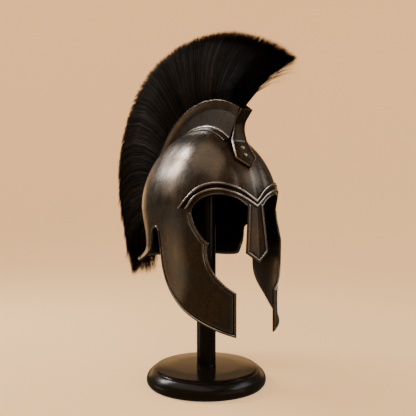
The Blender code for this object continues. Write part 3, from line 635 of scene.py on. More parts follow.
@dataclass(frozen=True)
class Lacquer:
    """Glossy black lacquer over turned wood."""

    name: str
    colour: Colour = (0.0055, 0.0048, 0.0042)
    dust: Colour = (0.022, 0.019, 0.016)
    polished_heights: tuple[float, float] = (0.0262, 0.0285)

    def material(self) -> bpy.types.Material:
        """The finished material."""
        t = ShaderTree(self.name)
        place = t.where()
        orange_peel = t.noise(place, 150.0, 2.0, 0.4)
        dust = t.ramp(t.noise(place, 900.0, 3.0, 0.6), 0.60, 0.72)
        colour = t.mix(t.maths("MULTIPLY", dust, 0.25), self.colour, self.dust)
        rough = t.scaled(t.noise(place, 28.0, 4.0, 0.6), 0.20, 0.30)
        height = t.add("SeparateXYZ", {0: place}).outputs["Z"]
        polished = t.ramp(height, *self.polished_heights)
        rough = t.maths("SUBTRACT", rough, t.maths("MULTIPLY", polished, 0.10))
        t.set(Base_Color=colour, Roughness=rough, Specular_IOR_Level=0.20)
        t.set(Coat_Weight=0.03, Coat_Roughness=0.12)
        t.set(Normal=t.bump(orange_peel, 0.02, 0.0006))
        return t.material


@dataclass(frozen=True)
class StudioPaper:
    """Matt pale paper with an even light through it."""

    colour: Colour = (0.80, 0.53, 0.26)
    glow: float = 0.85

    def material(self) -> bpy.types.Material:
        """The finished material."""
        t = ShaderTree("studio_paper")
        place = t.where()
        fibres = t.noise(place, 60.0, 4.0, 0.6)
        darker = tuple(0.97 * part for part in self.colour)
        t.set(Base_Color=t.mix(fibres, darker, self.colour), Roughness=0.95)
        t.set(Specular_IOR_Level=0.1, Normal=t.bump(fibres, 0.03, 0.0005))
        t.set(Emission_Color=self.colour, Emission_Strength=self.glow)
        return t.material


def numbers(mesh: bpy.types.Mesh, name: str, values: np.ndarray) -> None:
    """Stores one number per vertex as a named attribute."""
    layer = mesh.attributes.new(name, "FLOAT", "POINT")
    layer.data.foreach_set("value", np.asarray(values, np.float32))


def coordinates(bm: bmesh.types.BMesh) -> np.ndarray:
    """Every vertex's place, one row each."""
    return np.array([corner.co[:] for corner in bm.verts])


def move_to(bm: bmesh.types.BMesh, points: np.ndarray) -> None:
    """Gives every vertex a new place."""
    for corner, point in zip(bm.verts, points):
        corner.co = point


def to_piece(
    name: str,
    bm: bmesh.types.BMesh,
    material: bpy.types.Material,
    node: str,
    sharp: float,
) -> bpy.types.Object:
    """Turns a bmesh into a piece that rides on the root body.

    Args:
        name: The piece's name.
        bm: Its mesh, in place.
        material: Its finish.
        node: The CAD node that it stands for.
        sharp: Faces that meet at more than this many degrees stay sharp.

    Returns:
        The piece.
    """
    mesh = bpy.data.meshes.new(name)
    bm.to_mesh(mesh)
    bm.free()
    mesh.materials.append(material)
    mesh.shade_smooth()
    mesh.set_sharp_from_angle(angle=math.radians(sharp))
    piece = bpy.data.objects.new(name, mesh)
    bpy.context.scene.collection.objects.link(piece)
    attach(piece, "root")
    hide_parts(node)
    triangles = sum(len(face.vertices) - 2 for face in mesh.polygons)
    LOG.info("%s: %d triangles", name, triangles)
    return piece


def sweep(bm: bmesh.types.BMesh, sections: np.ndarray) -> None:
    """Sweeps a ring of points through sections, by extruding its edges from each to the next.

    Args:
        bm: The mesh to add to.
        sections: Sections by points by X, Y and Z. The first and the last one are filled.
    """
    place = bm.verts.layers.int.new("place")
    row = [bm.verts.new(point) for point in sections[0]]
    for i, corner in enumerate(row):
        corner[place] = i
    edges = [bm.edges.new(pair) for pair in zip(row, row[1:] + row[:1])]
    ends = [edges]
    for section in sections[1:]:
        made = bmesh.ops.extrude_edge_only(bm, edges=edges)["geom"]
        for item in made:
            if isinstance(item, bmesh.types.BMVert):
                item.co = section[item[place]]
        edges = [
            item
            for item in made
            if isinstance(item, bmesh.types.BMEdge) and len(item.link_faces) == 1
        ]
    ends.append(edges)
    for end in ends:
        bmesh.ops.triangle_fill(bm, edges=end, use_beauty=True, use_dissolve=False)


def spun(bm: bmesh.types.BMesh, profile: np.ndarray, steps: int) -> None:
    """Turns a profile round the Z axis.

    Args:
        bm: The mesh to add to.
        profile: Rows of radius and height.
        steps: How many steps the turn has.
    """
    row = [bm.verts.new((radius, 0.0, height)) for radius, height in profile]
    edges = [bm.edges.new(pair) for pair in zip(row, row[1:])]
    bmesh.ops.spin(
        bm,
        geom=row + edges,
        cent=(0.0, 0.0, 0.0),
        axis=(0.0, 0.0, 1.0),
        angle=math.tau,
        steps=steps,
        use_merge=True,
    )
    bmesh.ops.remove_doubles(bm, verts=bm.verts, dist=MERGE_DISTANCE)


def swept_places(bm: bmesh.types.BMesh, count: int) -> tuple[np.ndarray, np.ndarray]:
    """Where each vertex of a swept mesh lies.

    Args:
        bm: The mesh.
        count: How many points a section has.

    Returns:
        The number of each vertex's section, and its place in it.
    """
    place = bm.verts.layers.int["place"]
    return np.arange(len(bm.verts)) // count, np.array([corner[place] for corner in bm.verts])


def looks_on(bm: bmesh.types.BMesh, looks: np.ndarray) -> None:
    """Gives each vertex how worn it is, with painted highlight in the same share, and how much
    painted shade it has.

    Args:
        bm: The mesh.
        looks: Rows of wear with painted highlight, and of painted shade, one per vertex.
    """
    wear_and_highlight, painted_shade = (bm.verts.layers.float.new(name) for name in ("wear_and_highlight", "painted_shade"))
    for corner, (worn_and_lit, dark) in zip(bm.verts, looks):
        corner[wear_and_highlight], corner[painted_shade] = worn_and_lit, dark


class Edge(Enum):
    """Stretches of the sheet's cut edge.

    Each has its lip's width, its lip's raise, its inner line's raise, and how bare its metal is,
    which also sets its painted highlight.
    """

    NASAL = (0.0050, 0.0018, 0.0000, 0.78)
    EYE_TOP = (0.0020, 0.0005, 0.0000, 0.45)
    EYE_CORNER = (0.0037, 0.0018, 0.0011, 0.95)
    JAW = (0.0037, 0.0018, 0.0010, 0.90)
    CHEEK = (0.0038, 0.0020, 0.0005, 1.00)
    GUARD = (0.0034, 0.0017, 0.0000, 0.60)


@dataclass
class CutEdge:
    """The sheet's outline on the half pattern, as curves through chosen points.

    Bearings are in degrees and heights are from the widest level. The curves hold shares of the
    sizes here.
    """

    bowl: Bowl
    spacing: float = 0.0016
    nasal_drop: float = 0.0875
    nasal_point: float = 0.0159
    nasal_foot: float = 9.1
    eye_rise: float = 0.0172
    eye_drop: float = 0.0561
    eye_bearing: float = 46.2
    mouth_drop: float = 0.1322
    mouth_back: float = 34.4
    cheek_front: float = 15.6
    cheek_drop: float = 0.2009
    cheek_back: float = 83.8
    notch_drop: float = 0.0375
    guard_bearing: float = 98.2
    curve_steps: int = 12
    eye_top_points: int = 7
    eye: Rows = (
        (0.142, 0.765), (0.284, 0.907), (0.447, 0.980), (0.605, 1.000), (0.763, 0.959),
        (0.897, 0.866), (0.983, 0.731), (1.000, 0.643), (0.988, 0.547), (0.948, 0.398),
        (0.878, 0.241), (0.795, 0.087), (0.718, 0.000),
    )  # fmt: skip
    mouth: Rows = (
        (0.995, 0.052), (1.000, 0.219), (0.940, 0.389), (0.820, 0.540),
        (0.672, 0.669), (0.490, 0.778), (0.310, 0.874), (0.000, 1.000),
    )  # fmt: skip
    cheek: Rows = (
        (0.000, 0.000), (0.185, 0.064), (0.410, 0.152), (0.555, 0.217), (0.690, 0.296),
        (0.830, 0.390), (0.930, 0.493), (0.985, 0.613), (1.000, 0.723),
    )  # fmt: skip
    notch: Rows = (
        (0.070, 0.456), (0.200, 0.693), (0.350, 0.930), (0.650, 1.035), (0.980, 0.985),
        (1.140, 0.870), (1.180, 0.640), (1.290, 0.445), (1.490, 0.280), (1.950, 0.065),
        (2.750, 0.000),
    )  # fmt: skip
    guard: tuple[float, ...] = (0.22, 0.42, 0.62, 0.81, 1.00)

    def flat(self, degrees: np.ndarray, rise: np.ndarray) -> np.ndarray:
        """Pattern points by bearing and rise."""
        along = np.radians(np.asarray(degrees, float)) * self.bowl.pattern_radius
        return np.stack(np.broadcast_arrays(along, np.asarray(rise, float)), axis=-1)

    def eye_points(self) -> np.ndarray:
        """Chosen points round the eye opening, from the nasal to its lower corner."""
        share = np.array(self.eye)
        height = self.eye_rise + self.eye_drop
        return self.flat(self.eye_bearing * share[:, 0], height * share[:, 1] - self.eye_drop)

    def jaw_curve(self) -> np.ndarray:
        """The mouth gap's curve, from under the eye opening to the straight front of the cheek."""
        across, down = np.array(self.mouth).T
        back = self.cheek_front + (self.mouth_back - self.cheek_front) * across
        drop = self.eye_drop + (self.mouth_drop - self.eye_drop) * down
        return through(self.flat(back, -drop), self.curve_steps)

    def rear_curve(self) -> np.ndarray:
        """The curve from the cheek's front corner over the ear notch to the back of the guard."""
        back, up = np.array(self.cheek).T
        rise = (self.cheek_drop - self.notch_drop) * up - self.cheek_drop
        first = self.flat(self.cheek_front + (self.cheek_back - self.cheek_front) * back, rise)
        width, drop = self.guard_bearing - self.cheek_back, self.bowl.guard_drop
        back, up = np.array(self.notch).T
        second = self.flat(self.cheek_back + width * back, (drop - self.notch_drop) * up - drop)
        last = self.cheek_back + width * self.notch[-1][0]
        third = self.flat(last + (180.0 - last) * np.array(self.guard), -drop)
        return through(np.vstack([first, second, third]), self.curve_steps)

    def stretches(self) -> list[tuple[Edge, np.ndarray]]:
        """The cut edge's stretches, from the nasal's tip to the middle of the guard's bottom."""
        tip = self.flat(0.0, -self.nasal_drop)
        foot = self.flat(self.nasal_foot, self.nasal_point - self.nasal_drop)
        eye = through(self.eye_points(), self.curve_steps)
        jaw, rear = self.jaw_curve(), self.rear_curve()
        corner = self.flat(self.cheek_front, -self.cheek_drop)
        low, split = self.curve_steps * self.eye_top_points, self.curve_steps * len(self.cheek)
        return [
            (Edge.NASAL, np.vstack([tip, foot])),
            (Edge.NASAL, np.vstack([foot, eye[0]])),
            (Edge.EYE_TOP, eye[: low + 1]),
            (Edge.EYE_CORNER, eye[low:]),
            (Edge.JAW, np.vstack([eye[-1], jaw[0]])),
            (Edge.JAW, jaw),
            (Edge.JAW, np.vstack([jaw[-1], corner])),
            (Edge.CHEEK, rear[: split + 1]),
            (Edge.GUARD, rear[split:]),
        ]

    def path(self) -> tuple[np.ndarray, list[Edge]]:
        """The cut edge's points and the stretch that each point's following edge is in."""
        points, kinds = [], []
        for kind, stretch in self.stretches():
            piece = at_spacing(stretch, self.spacing)
            points.append(piece[:-1])
            kinds += [kind] * (len(piece) - 1)
        return np.vstack([*points, stretch[-1:]]), kinds + [kinds[-1]]


def distances(
    points: np.ndarray, path: np.ndarray, at_once: int = 2000
) -> tuple[np.ndarray, np.ndarray]:
    """Distance from each point to an open path, and the number of its nearest edge.

    Args:
        points: Rows of two numbers.
        path: The path's points.
        at_once: How many points are measured together, for the sake of memory.

    Returns:
        The distances and the edge numbers.
    """
    first, along = path[:-1], np.diff(path, axis=0)
    square = np.maximum((along**2).sum(1), 1e-18)
    found, number = np.empty(len(points)), np.empty(len(points), int)
    for start in range(0, len(points), at_once):
        batch = slice(start, start + at_once)
        some = points[batch, None, :] - first[None]
        share = np.clip((some * along[None]).sum(2) / square, 0.0, 1.0)
        gap = np.linalg.norm(some - along[None] * share[..., None], axis=2)
        found[batch], number[batch] = gap.min(1), gap.argmin(1)
    return found, number


def inside_loop(points: np.ndarray, loop: np.ndarray) -> np.ndarray:
    """Whether each point is inside a closed loop.

    Args:
        points: Rows of two numbers.
        loop: The loop's points.

    Returns:
        One yes or no per point.
    """
    found = np.zeros(len(points), bool)
    for (x1, y1), (x2, y2) in zip(loop, np.roll(loop, -1, axis=0)):
        crosses = (y1 > points[:, 1]) != (y2 > points[:, 1])
        if y1 != y2:
            found ^= crosses & (points[:, 0] < x1 + (x2 - x1) * (points[:, 1] - y1) / (y2 - y1))
    return found


@dataclass
class HelmetShell:
    """Skull, nasal, cheeks and neck guard: one sheet with a rolled lip along every cut edge."""

    bowl: Bowl
    edge: CutEdge
    finish: AntiquedMetal
    sheet: float = 0.0017
    face_spacing: float = 0.0034
    row_share: float = 0.87
    side_clear: float = 0.0012
    crown_clear: float = 0.0025
    lip_clear: float = 0.0016
    ring_slack: float = 1.5e-5
    rings: tuple[float, ...] = (
        0.00035, 0.0009, 0.0015, 0.0022, 0.0029, 0.0035, 0.0040, 0.0047, 0.0054, 0.0061,
    )  # fmt: skip
    groove_width: float = 0.0012
    groove_depth: float = 0.00026
    groove_out: float = 0.0003
    line_width: float = 0.0010
    line_out: float = 0.0017
    full_line: float = 0.0007
    # Painted shade over the inside: near black in the bowl, and less inside the cheeks.
    inside_painted_shade: float = 0.96
    cheek_less_shade: float = 0.86
    cheek_bearing: float = 1.55
    # Share of the worn edges and their painted highlights that the underside keeps.
    under_wear_and_highlight: float = 0.6

    def ring(self, path: np.ndarray, distance: float) -> np.ndarray:
        """The path moved into the sheet, without points that come too near another stretch.

        Args:
            path: The cut edge's points.
            distance: How far it moves.

        Returns:
            The moved points.
        """
        before = np.vstack([[2 * path[0, 0] - path[1, 0], path[1, 1]], path[:-1]])
        after = np.vstack([path[1:], [2 * path[-1, 0] - path[-2, 0], path[-2, 1]]])
        first, second = path - before, after - path
        first /= np.linalg.norm(first, axis=1, keepdims=True)
        second /= np.linalg.norm(second, axis=1, keepdims=True)
        normal = np.stack([-first[:, 1] - second[:, 1], first[:, 0] + second[:, 0]], axis=1)
        normal /= np.linalg.norm(normal, axis=1, keepdims=True)
        widen = np.maximum(0.5, normal[:, 1] * first[:, 0] - normal[:, 0] * first[:, 1])
        moved = path + normal * (distance / widen)[:, None]
        gap, _ = distances(moved, path)
        keep = gap > distance - self.ring_slack
        keep[[0, -1]] = True
        return moved[keep]

    def rows(self, path: np.ndarray, loop: np.ndarray) -> np.ndarray:
        """Points over the face of the half pattern, in rows that thin out up the crown.

        Args:
            path: The cut edge's points.
            loop: The half pattern's whole outline.

        Returns:
            The points, clear of the lip and of the middle plane.
        """
        back, top = self.bowl.pattern_back, self.bowl.pattern_top - self.crown_clear
        rises = np.arange(path[:, 1].min(), top, self.face_spacing * self.row_share)
        points = []
        for number, rise in enumerate(rises):
            latitude = max(0.0, rise) / self.bowl.crown_pattern_radius
            count = max(4, round(back / self.face_spacing * max(0.06, math.cos(latitude))))
            along = (np.arange(1, count) + 0.5 * (number % 2) - 0.25) * back / count
            points.append(np.stack([along, np.full(len(along), rise)], axis=1))
        points = np.vstack(points)
        clear = (points[:, 0] > self.side_clear) & (points[:, 0] < back - self.side_clear)
        points = points[clear]
        points = points[inside_loop(points, loop)]
        return points[distances(points, path)[0] > self.rings[-1] + self.lip_clear]

    def side(self, along: float, low: float) -> np.ndarray:
        """Points up one side of the half pattern, from over its lip.

        Args:
            along: The side's place along the pattern.
            low: Rise of the last ring there.

        Returns:
            The points, without both ends.
        """
        count = round((self.bowl.pattern_top - low) / self.face_spacing)
        rises = np.linspace(low, self.bowl.pattern_top, count + 1)[1:-1]
        return np.stack([np.full(len(rises), along), rises], axis=1)

    def flat_sheet(self) -> tuple[bmesh.types.BMesh, np.ndarray, list[Edge]]:
        """The half pattern as triangles, with its cut edge's path and its stretches."""
        path, kinds = self.edge.path()
        rings = [self.ring(path, distance) for distance in self.rings]
        back, top = self.bowl.pattern_back, self.bowl.pattern_top
        right = np.vstack([[ring[-1] for ring in rings], self.side(back, rings[-1][-1][1])])
        left = np.vstack([[ring[0] for ring in rings], self.side(0.0, rings[-1][0][1])])
        crown = np.array([[back, top], [0.5 * back, top], [0.0, top]])
        loop = np.vstack([path, right, crown, left[::-1]])
        points, edges = [loop], []
        count = len(loop)
        for number, ring in enumerate(rings):
            inner = ring[1:-1]
            first, last = len(path) + number, len(loop) - 1 - number
            chain = [last, *range(count, count + len(inner)), first]
            edges += list(zip(chain, chain[1:]))
            points.append(inner)
            count += len(inner)
        points.append(self.rows(path, loop))
        corners = [Vector(point) for point in np.vstack(points)]
        found = delaunay_2d_cdt(corners, edges, [list(range(len(loop)))], 1, 1e-9, True)
        bm = bmesh.new()
        verts = [bm.verts.new((corner.x, corner.y, 0.0)) for corner in found[0]]
        for face, owner in zip(found[2], found[5]):
            if 0 in owner:
                bm.faces.new([verts[i] for i in face])
        loose = [corner for corner in verts if not corner.link_faces]
        bmesh.ops.delete(bm, geom=loose, context="VERTS")
        return bm, path, kinds

    def lip(self, gap: np.ndarray, kinds: list[Edge]) -> tuple[np.ndarray, np.ndarray]:
        """The rolled lip with its groove and its inner line.

        Args:
            gap: Distances from the cut edge.
            kinds: The stretch that each is nearest to.

        Returns:
            How far the face stands out, and rows of how worn it is with its painted highlight, and
            how much painted shade it has.
        """
        width, raised, line, bare = np.array([kind.value for kind in kinds]).T
        share = np.clip(gap / width, 0.0, 1.0)
        rolled = np.sqrt(np.maximum(0.0, 1.0 - (2.0 * share - 1.0) ** 2.0))
        groove = bump_at(0.0, self.groove_width, gap - width - self.groove_out)
        second = bump_at(0.0, self.line_width, gap - width - self.line_out)
        proud = raised * rolled - self.groove_depth * groove + line * second
        # Worn lip, also a painted highlight along its crest and on the inner line.
        worn_and_lit = (0.62 + 0.38 * bump_at(0.80, 0.22, share)) * smooth_step(0.25, 0.4, rolled)
        line_wear_and_highlight = 0.9 * (line / self.full_line) * second * bare
        wear_and_highlight = np.clip(np.maximum(bare * worn_and_lit * (gap < width), line_wear_and_highlight), 0.0, 1.0)
        # Painted shade in the groove inside the lip.
        painted_shade = np.maximum(groove, 0.0) * (gap > 0.6 * width)
        return proud, np.stack([wear_and_highlight, painted_shade], axis=1)

    def dark_inside(self, flat: np.ndarray, gap: np.ndarray) -> np.ndarray:
        """How much painted shade darkens the sheet's inside: none along the cut edge, black in the
        bowl, and less inside the cheeks.

        Args:
            flat: Pattern points.
            gap: Their distances from the cut edge.

        Returns:
            One share per point.
        """
        cheek = smooth_step(0.052, 0.045, -flat[:, 1])
        cheek = cheek * (flat[:, 0] < self.cheek_bearing * self.bowl.pattern_radius)
        shade = self.inside_painted_shade * smooth_step(0.0026, 0.0040, gap)
        return shade * (1.0 - self.cheek_less_shade * cheek)

    def thicken(self, bm: bmesh.types.BMesh, dark: np.ndarray) -> None:
        """Gives the flat half sheet its thickness.

        Args:
            bm: The sheet, with its lip raised.
            dark: How much painted shade darkens its inside, one share per vertex.
        """
        inner = bm.verts.layers.float.new("inner")
        wear_and_highlight, painted_shade = bm.verts.layers.float["wear_and_highlight"], bm.verts.layers.float["painted_shade"]
        for corner, shade in zip(bm.verts, dark):
            corner[inner] = shade
        made = bmesh.ops.extrude_face_region(bm, geom=bm.faces[:])["geom"]
        under = {item for item in made if isinstance(item, bmesh.types.BMVert)}
        for corner in bm.verts:
            if corner in under:
                corner.co.z = -self.sheet
                # The underside keeps part of the worn edges' painted highlight, and none of the
                # painted shade.
                corner[wear_and_highlight] *= self.under_wear_and_highlight
                corner[painted_shade] = 0.0
            else:
                corner[inner] = 0.0

    def in_middle(self, flat: np.ndarray) -> np.ndarray:
        """Whether pattern points bend onto the helmet's middle plane."""
        ends = (flat[:, 0] < ON_MIDDLE) | (flat[:, 0] > self.bowl.pattern_back - ON_MIDDLE)
        return ends | (flat[:, 1] > self.bowl.pattern_top - ON_MIDDLE)

    def bend(self, bm: bmesh.types.BMesh) -> None:
        """Opens the flat sheet along the middle plane, and bends it to the bowl.

        Args:
            bm: The sheet, with its thickness.
        """
        flags = self.in_middle(coordinates(bm))
        bm.verts.index_update()
        walls = [face for face in bm.faces if all(flags[corner.index] for corner in face.verts)]
        bmesh.ops.delete(bm, geom=walls, context="FACES")
        flat = coordinates(bm)
        placed = self.bowl.off(flat[:, 0] / self.bowl.pattern_radius, flat[:, 1], flat[:, 2])
        placed[self.in_middle(flat), 0] = 0.0
        placed[flat[:, 1] > self.bowl.pattern_top - ON_MIDDLE, 1] = 0.0
        move_to(bm, placed)

    def build(self) -> bpy.types.Object:
        """Makes the piece."""
        bm, path, kinds = self.flat_sheet()
        flat = coordinates(bm)
        gap, number = distances(flat[:, :2], path)
        proud, looks = self.lip(gap, [kinds[i] for i in number])
        for corner, out in zip(bm.verts, proud):
            corner.co.z = out
        looks_on(bm, looks)
        self.thicken(bm, self.dark_inside(flat, gap))
        self.bend(bm)
        bmesh.ops.remove_doubles(bm, verts=bm.verts, dist=MERGE_DISTANCE)
        geometry = bm.verts[:] + bm.edges[:] + bm.faces[:]
        bmesh.ops.mirror(bm, geom=geometry, axis="X", merge_dist=0.0)
        bmesh.ops.remove_doubles(bm, verts=bm.verts, dist=2.0 * MERGE_DISTANCE)
        bmesh.ops.recalc_face_normals(bm, faces=bm.faces)
        material = self.finish.material()
        return to_piece("helmet_sheet", bm, material, "helmet_shell", 60.0)


@dataclass
class BrowBand:
    """Two rounded ridges over each eye, with a groove between in painted shade, mitred over the
    nasal.
    """

    bowl: Bowl
    edge: CutEdge
    finish: AntiquedMetal
    width: float = 0.0170
    ridge: float = 0.0023
    raised: float = 0.0021
    gap: float = 0.0007
    steps: int = 110
    curve_steps: int = 16
    outer_start: float = 0.0074
    inner_start: float = 0.0004
    under_points: tuple[int, ...] = (-1, 14, 7, 0)
    offsets: Rows = (
        (-0.31, 0.36, -0.42, 0.74), (-0.32, 0.25, -0.44, 0.71), (-0.19, 0.35, -0.31, 0.85),
        (0.02, 0.42, 0.05, 0.94), (0.18, 0.40, 0.35, 0.87), (0.30, 0.32, 0.66, 0.59),
        (0.59, -0.03, 1.46, -0.02),
    )  # fmt: skip

    def guides(self) -> list[np.ndarray]:
        """Pattern points down the middle of the outer and of the inner ridge."""
        chosen = self.edge.eye_points()[: len(self.offsets)]
        moved = np.array(self.offsets) * self.width
        inner = np.vstack([self.edge.flat(0.0, self.inner_start), chosen + moved[:, :2]])
        outer = np.vstack([self.edge.flat(0.0, self.outer_start), chosen + moved[:, 2:]])
        return [in_steps(through(rows, self.curve_steps), self.steps) for rows in (outer, inner)]

    def ridge_rows(self, across: float) -> list[tuple[float, ...]]:
        """Rows over one ridge, as section() has them.

        Args:
            across: 0 for the outer ridge and 1 for the inner one.

        Returns:
            Its rows.
        """
        rows = []
        for turn in range(0, 181, 20):
            angle = math.radians(turn)
            up = math.sin(angle) ** 0.8
            # Painted highlight along each ridge's top, and painted shade at its foot.
            wear_and_highlight, painted_shade = 0.88 * smooth_step(0.55, 0.4, up), smooth_step(-0.55, 0.5, -up)
            rows.append((across, 1.25 * math.cos(angle), 0.10 + 0.95 * up, wear_and_highlight, painted_shade))
        return rows

    def section(self) -> np.ndarray:
        """Rows of place across, half widths outward, share of the raise, wear with painted
        highlight, and painted shade.
        """
        # The groove between the ridges is in full painted shade.
        groove = [(0.45, 0.0, 0.10, 0.0, 1.0), (0.55, 0.0, 0.10, 0.0, 1.0)]
        return np.array(self.ridge_rows(0.0) + groove + self.ridge_rows(1.0), float)

    def on_bowl(self, flat: np.ndarray, proud: np.ndarray) -> np.ndarray:
        """Sections of pattern points, bent to the bowl and raised off it."""
        bearing = flat[..., 0] / self.bowl.pattern_radius
        return self.bowl.off(bearing, flat[..., 1], np.broadcast_to(proud, flat.shape[:2]))

    def build(self) -> bpy.types.Object:
        """Makes the piece."""
        outer, inner = self.guides()
        way = outer - inner
        way /= np.linalg.norm(way, axis=1, keepdims=True)
        way[0] = (0.0, 1.0)
        rows = self.section()
        at = outer[:, None] + (inner - outer)[:, None] * rows[None, :, 0:1]
        at = at + way[:, None] * (self.ridge * rows[None, :, 1:2])
        face = self.on_bowl(at, self.gap + self.raised * rows[:, 2])
        under = self.on_bowl(at[:, self.under_points], np.array(self.gap))
        half = np.concatenate([face, under], axis=1)
        half[0, :, 0] = 0.0
        mirrored = half[1:][::-1] * np.array([-1.0, 1.0, 1.0])
        bm = bmesh.new()
        sweep(bm, np.concatenate([mirrored, half]))
        # The underside is in full painted shade.
        looks = np.vstack([rows[:, 3:], [[0.0, 1.0]] * len(self.under_points)])
        looks_on(bm, looks[swept_places(bm, len(looks))[1]])
        bmesh.ops.recalc_face_normals(bm, faces=bm.faces)
        material = self.finish.material()
        return to_piece("brow_ridges", bm, material, "brow_band", 60.0)


@dataclass
class CrestHolder:
    """The sheet trough on the crown: beaded foot, plain wall, coved rim with a fine bead."""

    fan: Fan
    finish: AntiquedMetal
    half_width: float = 0.0102
    sheet: float = 0.0014
    floor: float = 0.0030
    rim_half_width: float = 0.0150
    cove: float = 0.0170
    foot_half_width: float = 0.0210
    foot_raise: float = 0.0040
    foot_bead: float = 0.0013
    gap: float = 0.0008
    nose_span: float = 14.0
    nose_gap: float = 0.0023
    nose_drop: float = 0.0027
    nose_half_width: float = 0.0120
    lip_reach: float = 0.0125
    lean_from: float = 0.78
    strap: float = 0.0020
    rim_edge: float = 0.0008
    # How much less painted shade the wall has towards the front.
    front_less_shade: float = 0.25
    stations: int = 150
    end_wall: tuple[float, float] = (0.05, 1.0)

    def nose(self, angle: np.ndarray) -> np.ndarray:
        """How much the rim is drawn into the strap's lip: 1 at the front end."""
        return np.maximum(0.0, 1.0 - (self.fan.start - angle) / self.nose_span) ** 2

    def foot_rows(self, angle: float, neck_out: float) -> list[tuple[float, ...]]:
        """Rows from the middle of the underside over the foot's edge to its beaded neck.

        Args:
            angle: The section's angle on the fan.
            neck_out: Side offset of the wall.

        Returns:
            Its rows, as half_section() has them.
        """
        foot, bead = self.foot_half_width, self.foot_bead
        seats = np.array([0.0, 0.5 * neck_out, neck_out, 0.5 * (neck_out + foot), foot])
        under = self.fan.bowl_distance(np.full(len(seats), angle), seats) + self.gap
        tip, neck = under[-1], under[2] + self.foot_raise
        # Painted shade over the underside.
        rows = [(aside, up, 0.0, 1.0) for aside, up in zip(seats, under)]
        # Painted highlight along the foot's edge, and painted shade in the hollow up to the bead.
        rows += [
            (foot + 0.0002, tip + 0.0006, 0.5, 0.0),
            (foot - 0.0003, tip + 0.0012, 1.0, 0.0),
            (foot - 0.0010, tip + 0.0013, 0.7, 0.0),
            (foot - 0.0016, tip + 0.0009, 0.0, 1.0),
            (neck_out + 0.50 * (foot - neck_out), 0.5 * (tip + neck) - 0.0006, 0.0, 0.6),
            (neck_out + 2.3 * bead, neck - 1.35 * bead, 0.0, 1.0),
        ]
        # Painted highlight on the side of the bead that faces up and out, and painted shade just
        # above it.
        for turn in range(-60, 121, 30):
            across, up = math.cos(math.radians(turn)), math.sin(math.radians(turn))
            aside = neck_out + bead * (0.6 + across)
            rows.append((aside, neck - 0.2 * bead + bead * up, bump_at(45.0, 70.0, turn), 0.0))
        return [*rows, (neck_out, neck + 1.9 * bead, 0.0, 1.0)]

    def rim_rows(self, rim: float, brim: float, wall: float) -> list[tuple[float, ...]]:
        """Rows up the cove and over the rim's round edge.

        Args:
            rim: Distance of the rim from the centre.
            brim: Side offset of the rim.
            wall: How much painted shade the wall under the cove has.

        Returns:
            Its rows, as half_section() has them.
        """
        rows = []
        for share in (0.0, 0.12, 0.25, 0.38, 0.5, 0.62, 0.74, 0.85, 0.94):
            out = (brim - self.half_width) * (share**1.7) * 0.92
            # Painted shade at the foot of the cove, fading up it.
            dark = 0.95 * (1.0 - share) ** 1.5
            if share < 0.2:
                dark = wall + (1.0 - wall) * float(bump_at(0.10, 0.10, share))
            # A faint painted highlight up the cove.
            cove_highlight = 0.24 * float(smooth_step(0.08, 0.2, share))
            up = rim - self.cove + self.cove * share
            rows.append((self.half_width + out, up, cove_highlight, dark))
        # The rim's round edge is worn and painted with a faint highlight.
        for turn in (-70, -20, 30, 80, 130):
            across, up = math.cos(math.radians(turn)), math.sin(math.radians(turn))
            edge = self.rim_edge
            rows.append((brim - edge + edge * across, rim - edge + edge * up, 0.3, 0.0))
        return rows

    def half_section(self, angle: float, hollow: float) -> np.ndarray:
        """Half a section of the trough, from the middle of its underside to that of its floor.

        Args:
            angle: Its angle on the fan.
            hollow: 1 for the open trough, and 0 where it is filled to the rim.

        Returns:
            Rows of side offset, distance from the centre, wear with painted highlight, and painted
            shade.
        """
        wide = self.half_width
        nose = float(self.nose(np.array(angle)))
        brim = self.rim_half_width + (self.nose_half_width - self.rim_half_width) * nose
        rim = self.fan.rim() - self.nose_drop * nose
        rows = self.foot_rows(angle, wide)
        # Painted shade on the plain wall, less of it towards the front.
        wall = 1.0 - self.front_less_shade * float(smooth_step(80.0, 28.0, np.array(angle)))
        rows.append((wide, rows[-1][1] + 1.5 * self.foot_bead, 0.0, wall))
        rows += self.rim_rows(rim, brim, wall)
        floor, level = rows[0][1] + self.floor, rim + 0.15 * self.sheet
        inner = [
            (brim - self.sheet, rim - self.rim_edge),
            (wide + 0.22 * (brim - wide) - self.sheet, rim - 0.50 * self.cove),
            (wide - self.sheet, rim - self.cove),
            (wide - self.sheet, floor),
            (0.0, floor),
        ]
        # Painted shade over the trough's inside.
        for i, (aside, up) in enumerate(inner):
            closed = (brim - self.sheet) * (1.0 - i / (len(inner) - 1))
            place = (closed + (aside - closed) * hollow, level + (up - level) * hollow)
            rows.append((*place, 0.0, 1.0))
        return np.array(rows, float)

    def placed(self, angle: float, half: np.ndarray) -> np.ndarray:
        """A closed section, which leans forward towards its rim at the front end.

        Args:
            angle: Its angle on the fan.
            half: The half section.

        Returns:
            One row of X, Y and Z per point.
        """
        ring = np.vstack([half, half[-2:0:-1] * np.array([-1.0, 1.0, 1.0, 1.0])])
        rim = self.fan.rim()
        foot = self.lean_from * rim
        rise = np.maximum(0.0, (ring[:, 1] - foot) / (rim - foot))
        lean = math.degrees((self.lip_reach - self.strap - self.nose_gap) / rim)
        turned = angle + lean * float(self.nose(np.array(angle))) * rise**2
        return self.fan.place(turned, ring[:, 0], ring[:, 1])

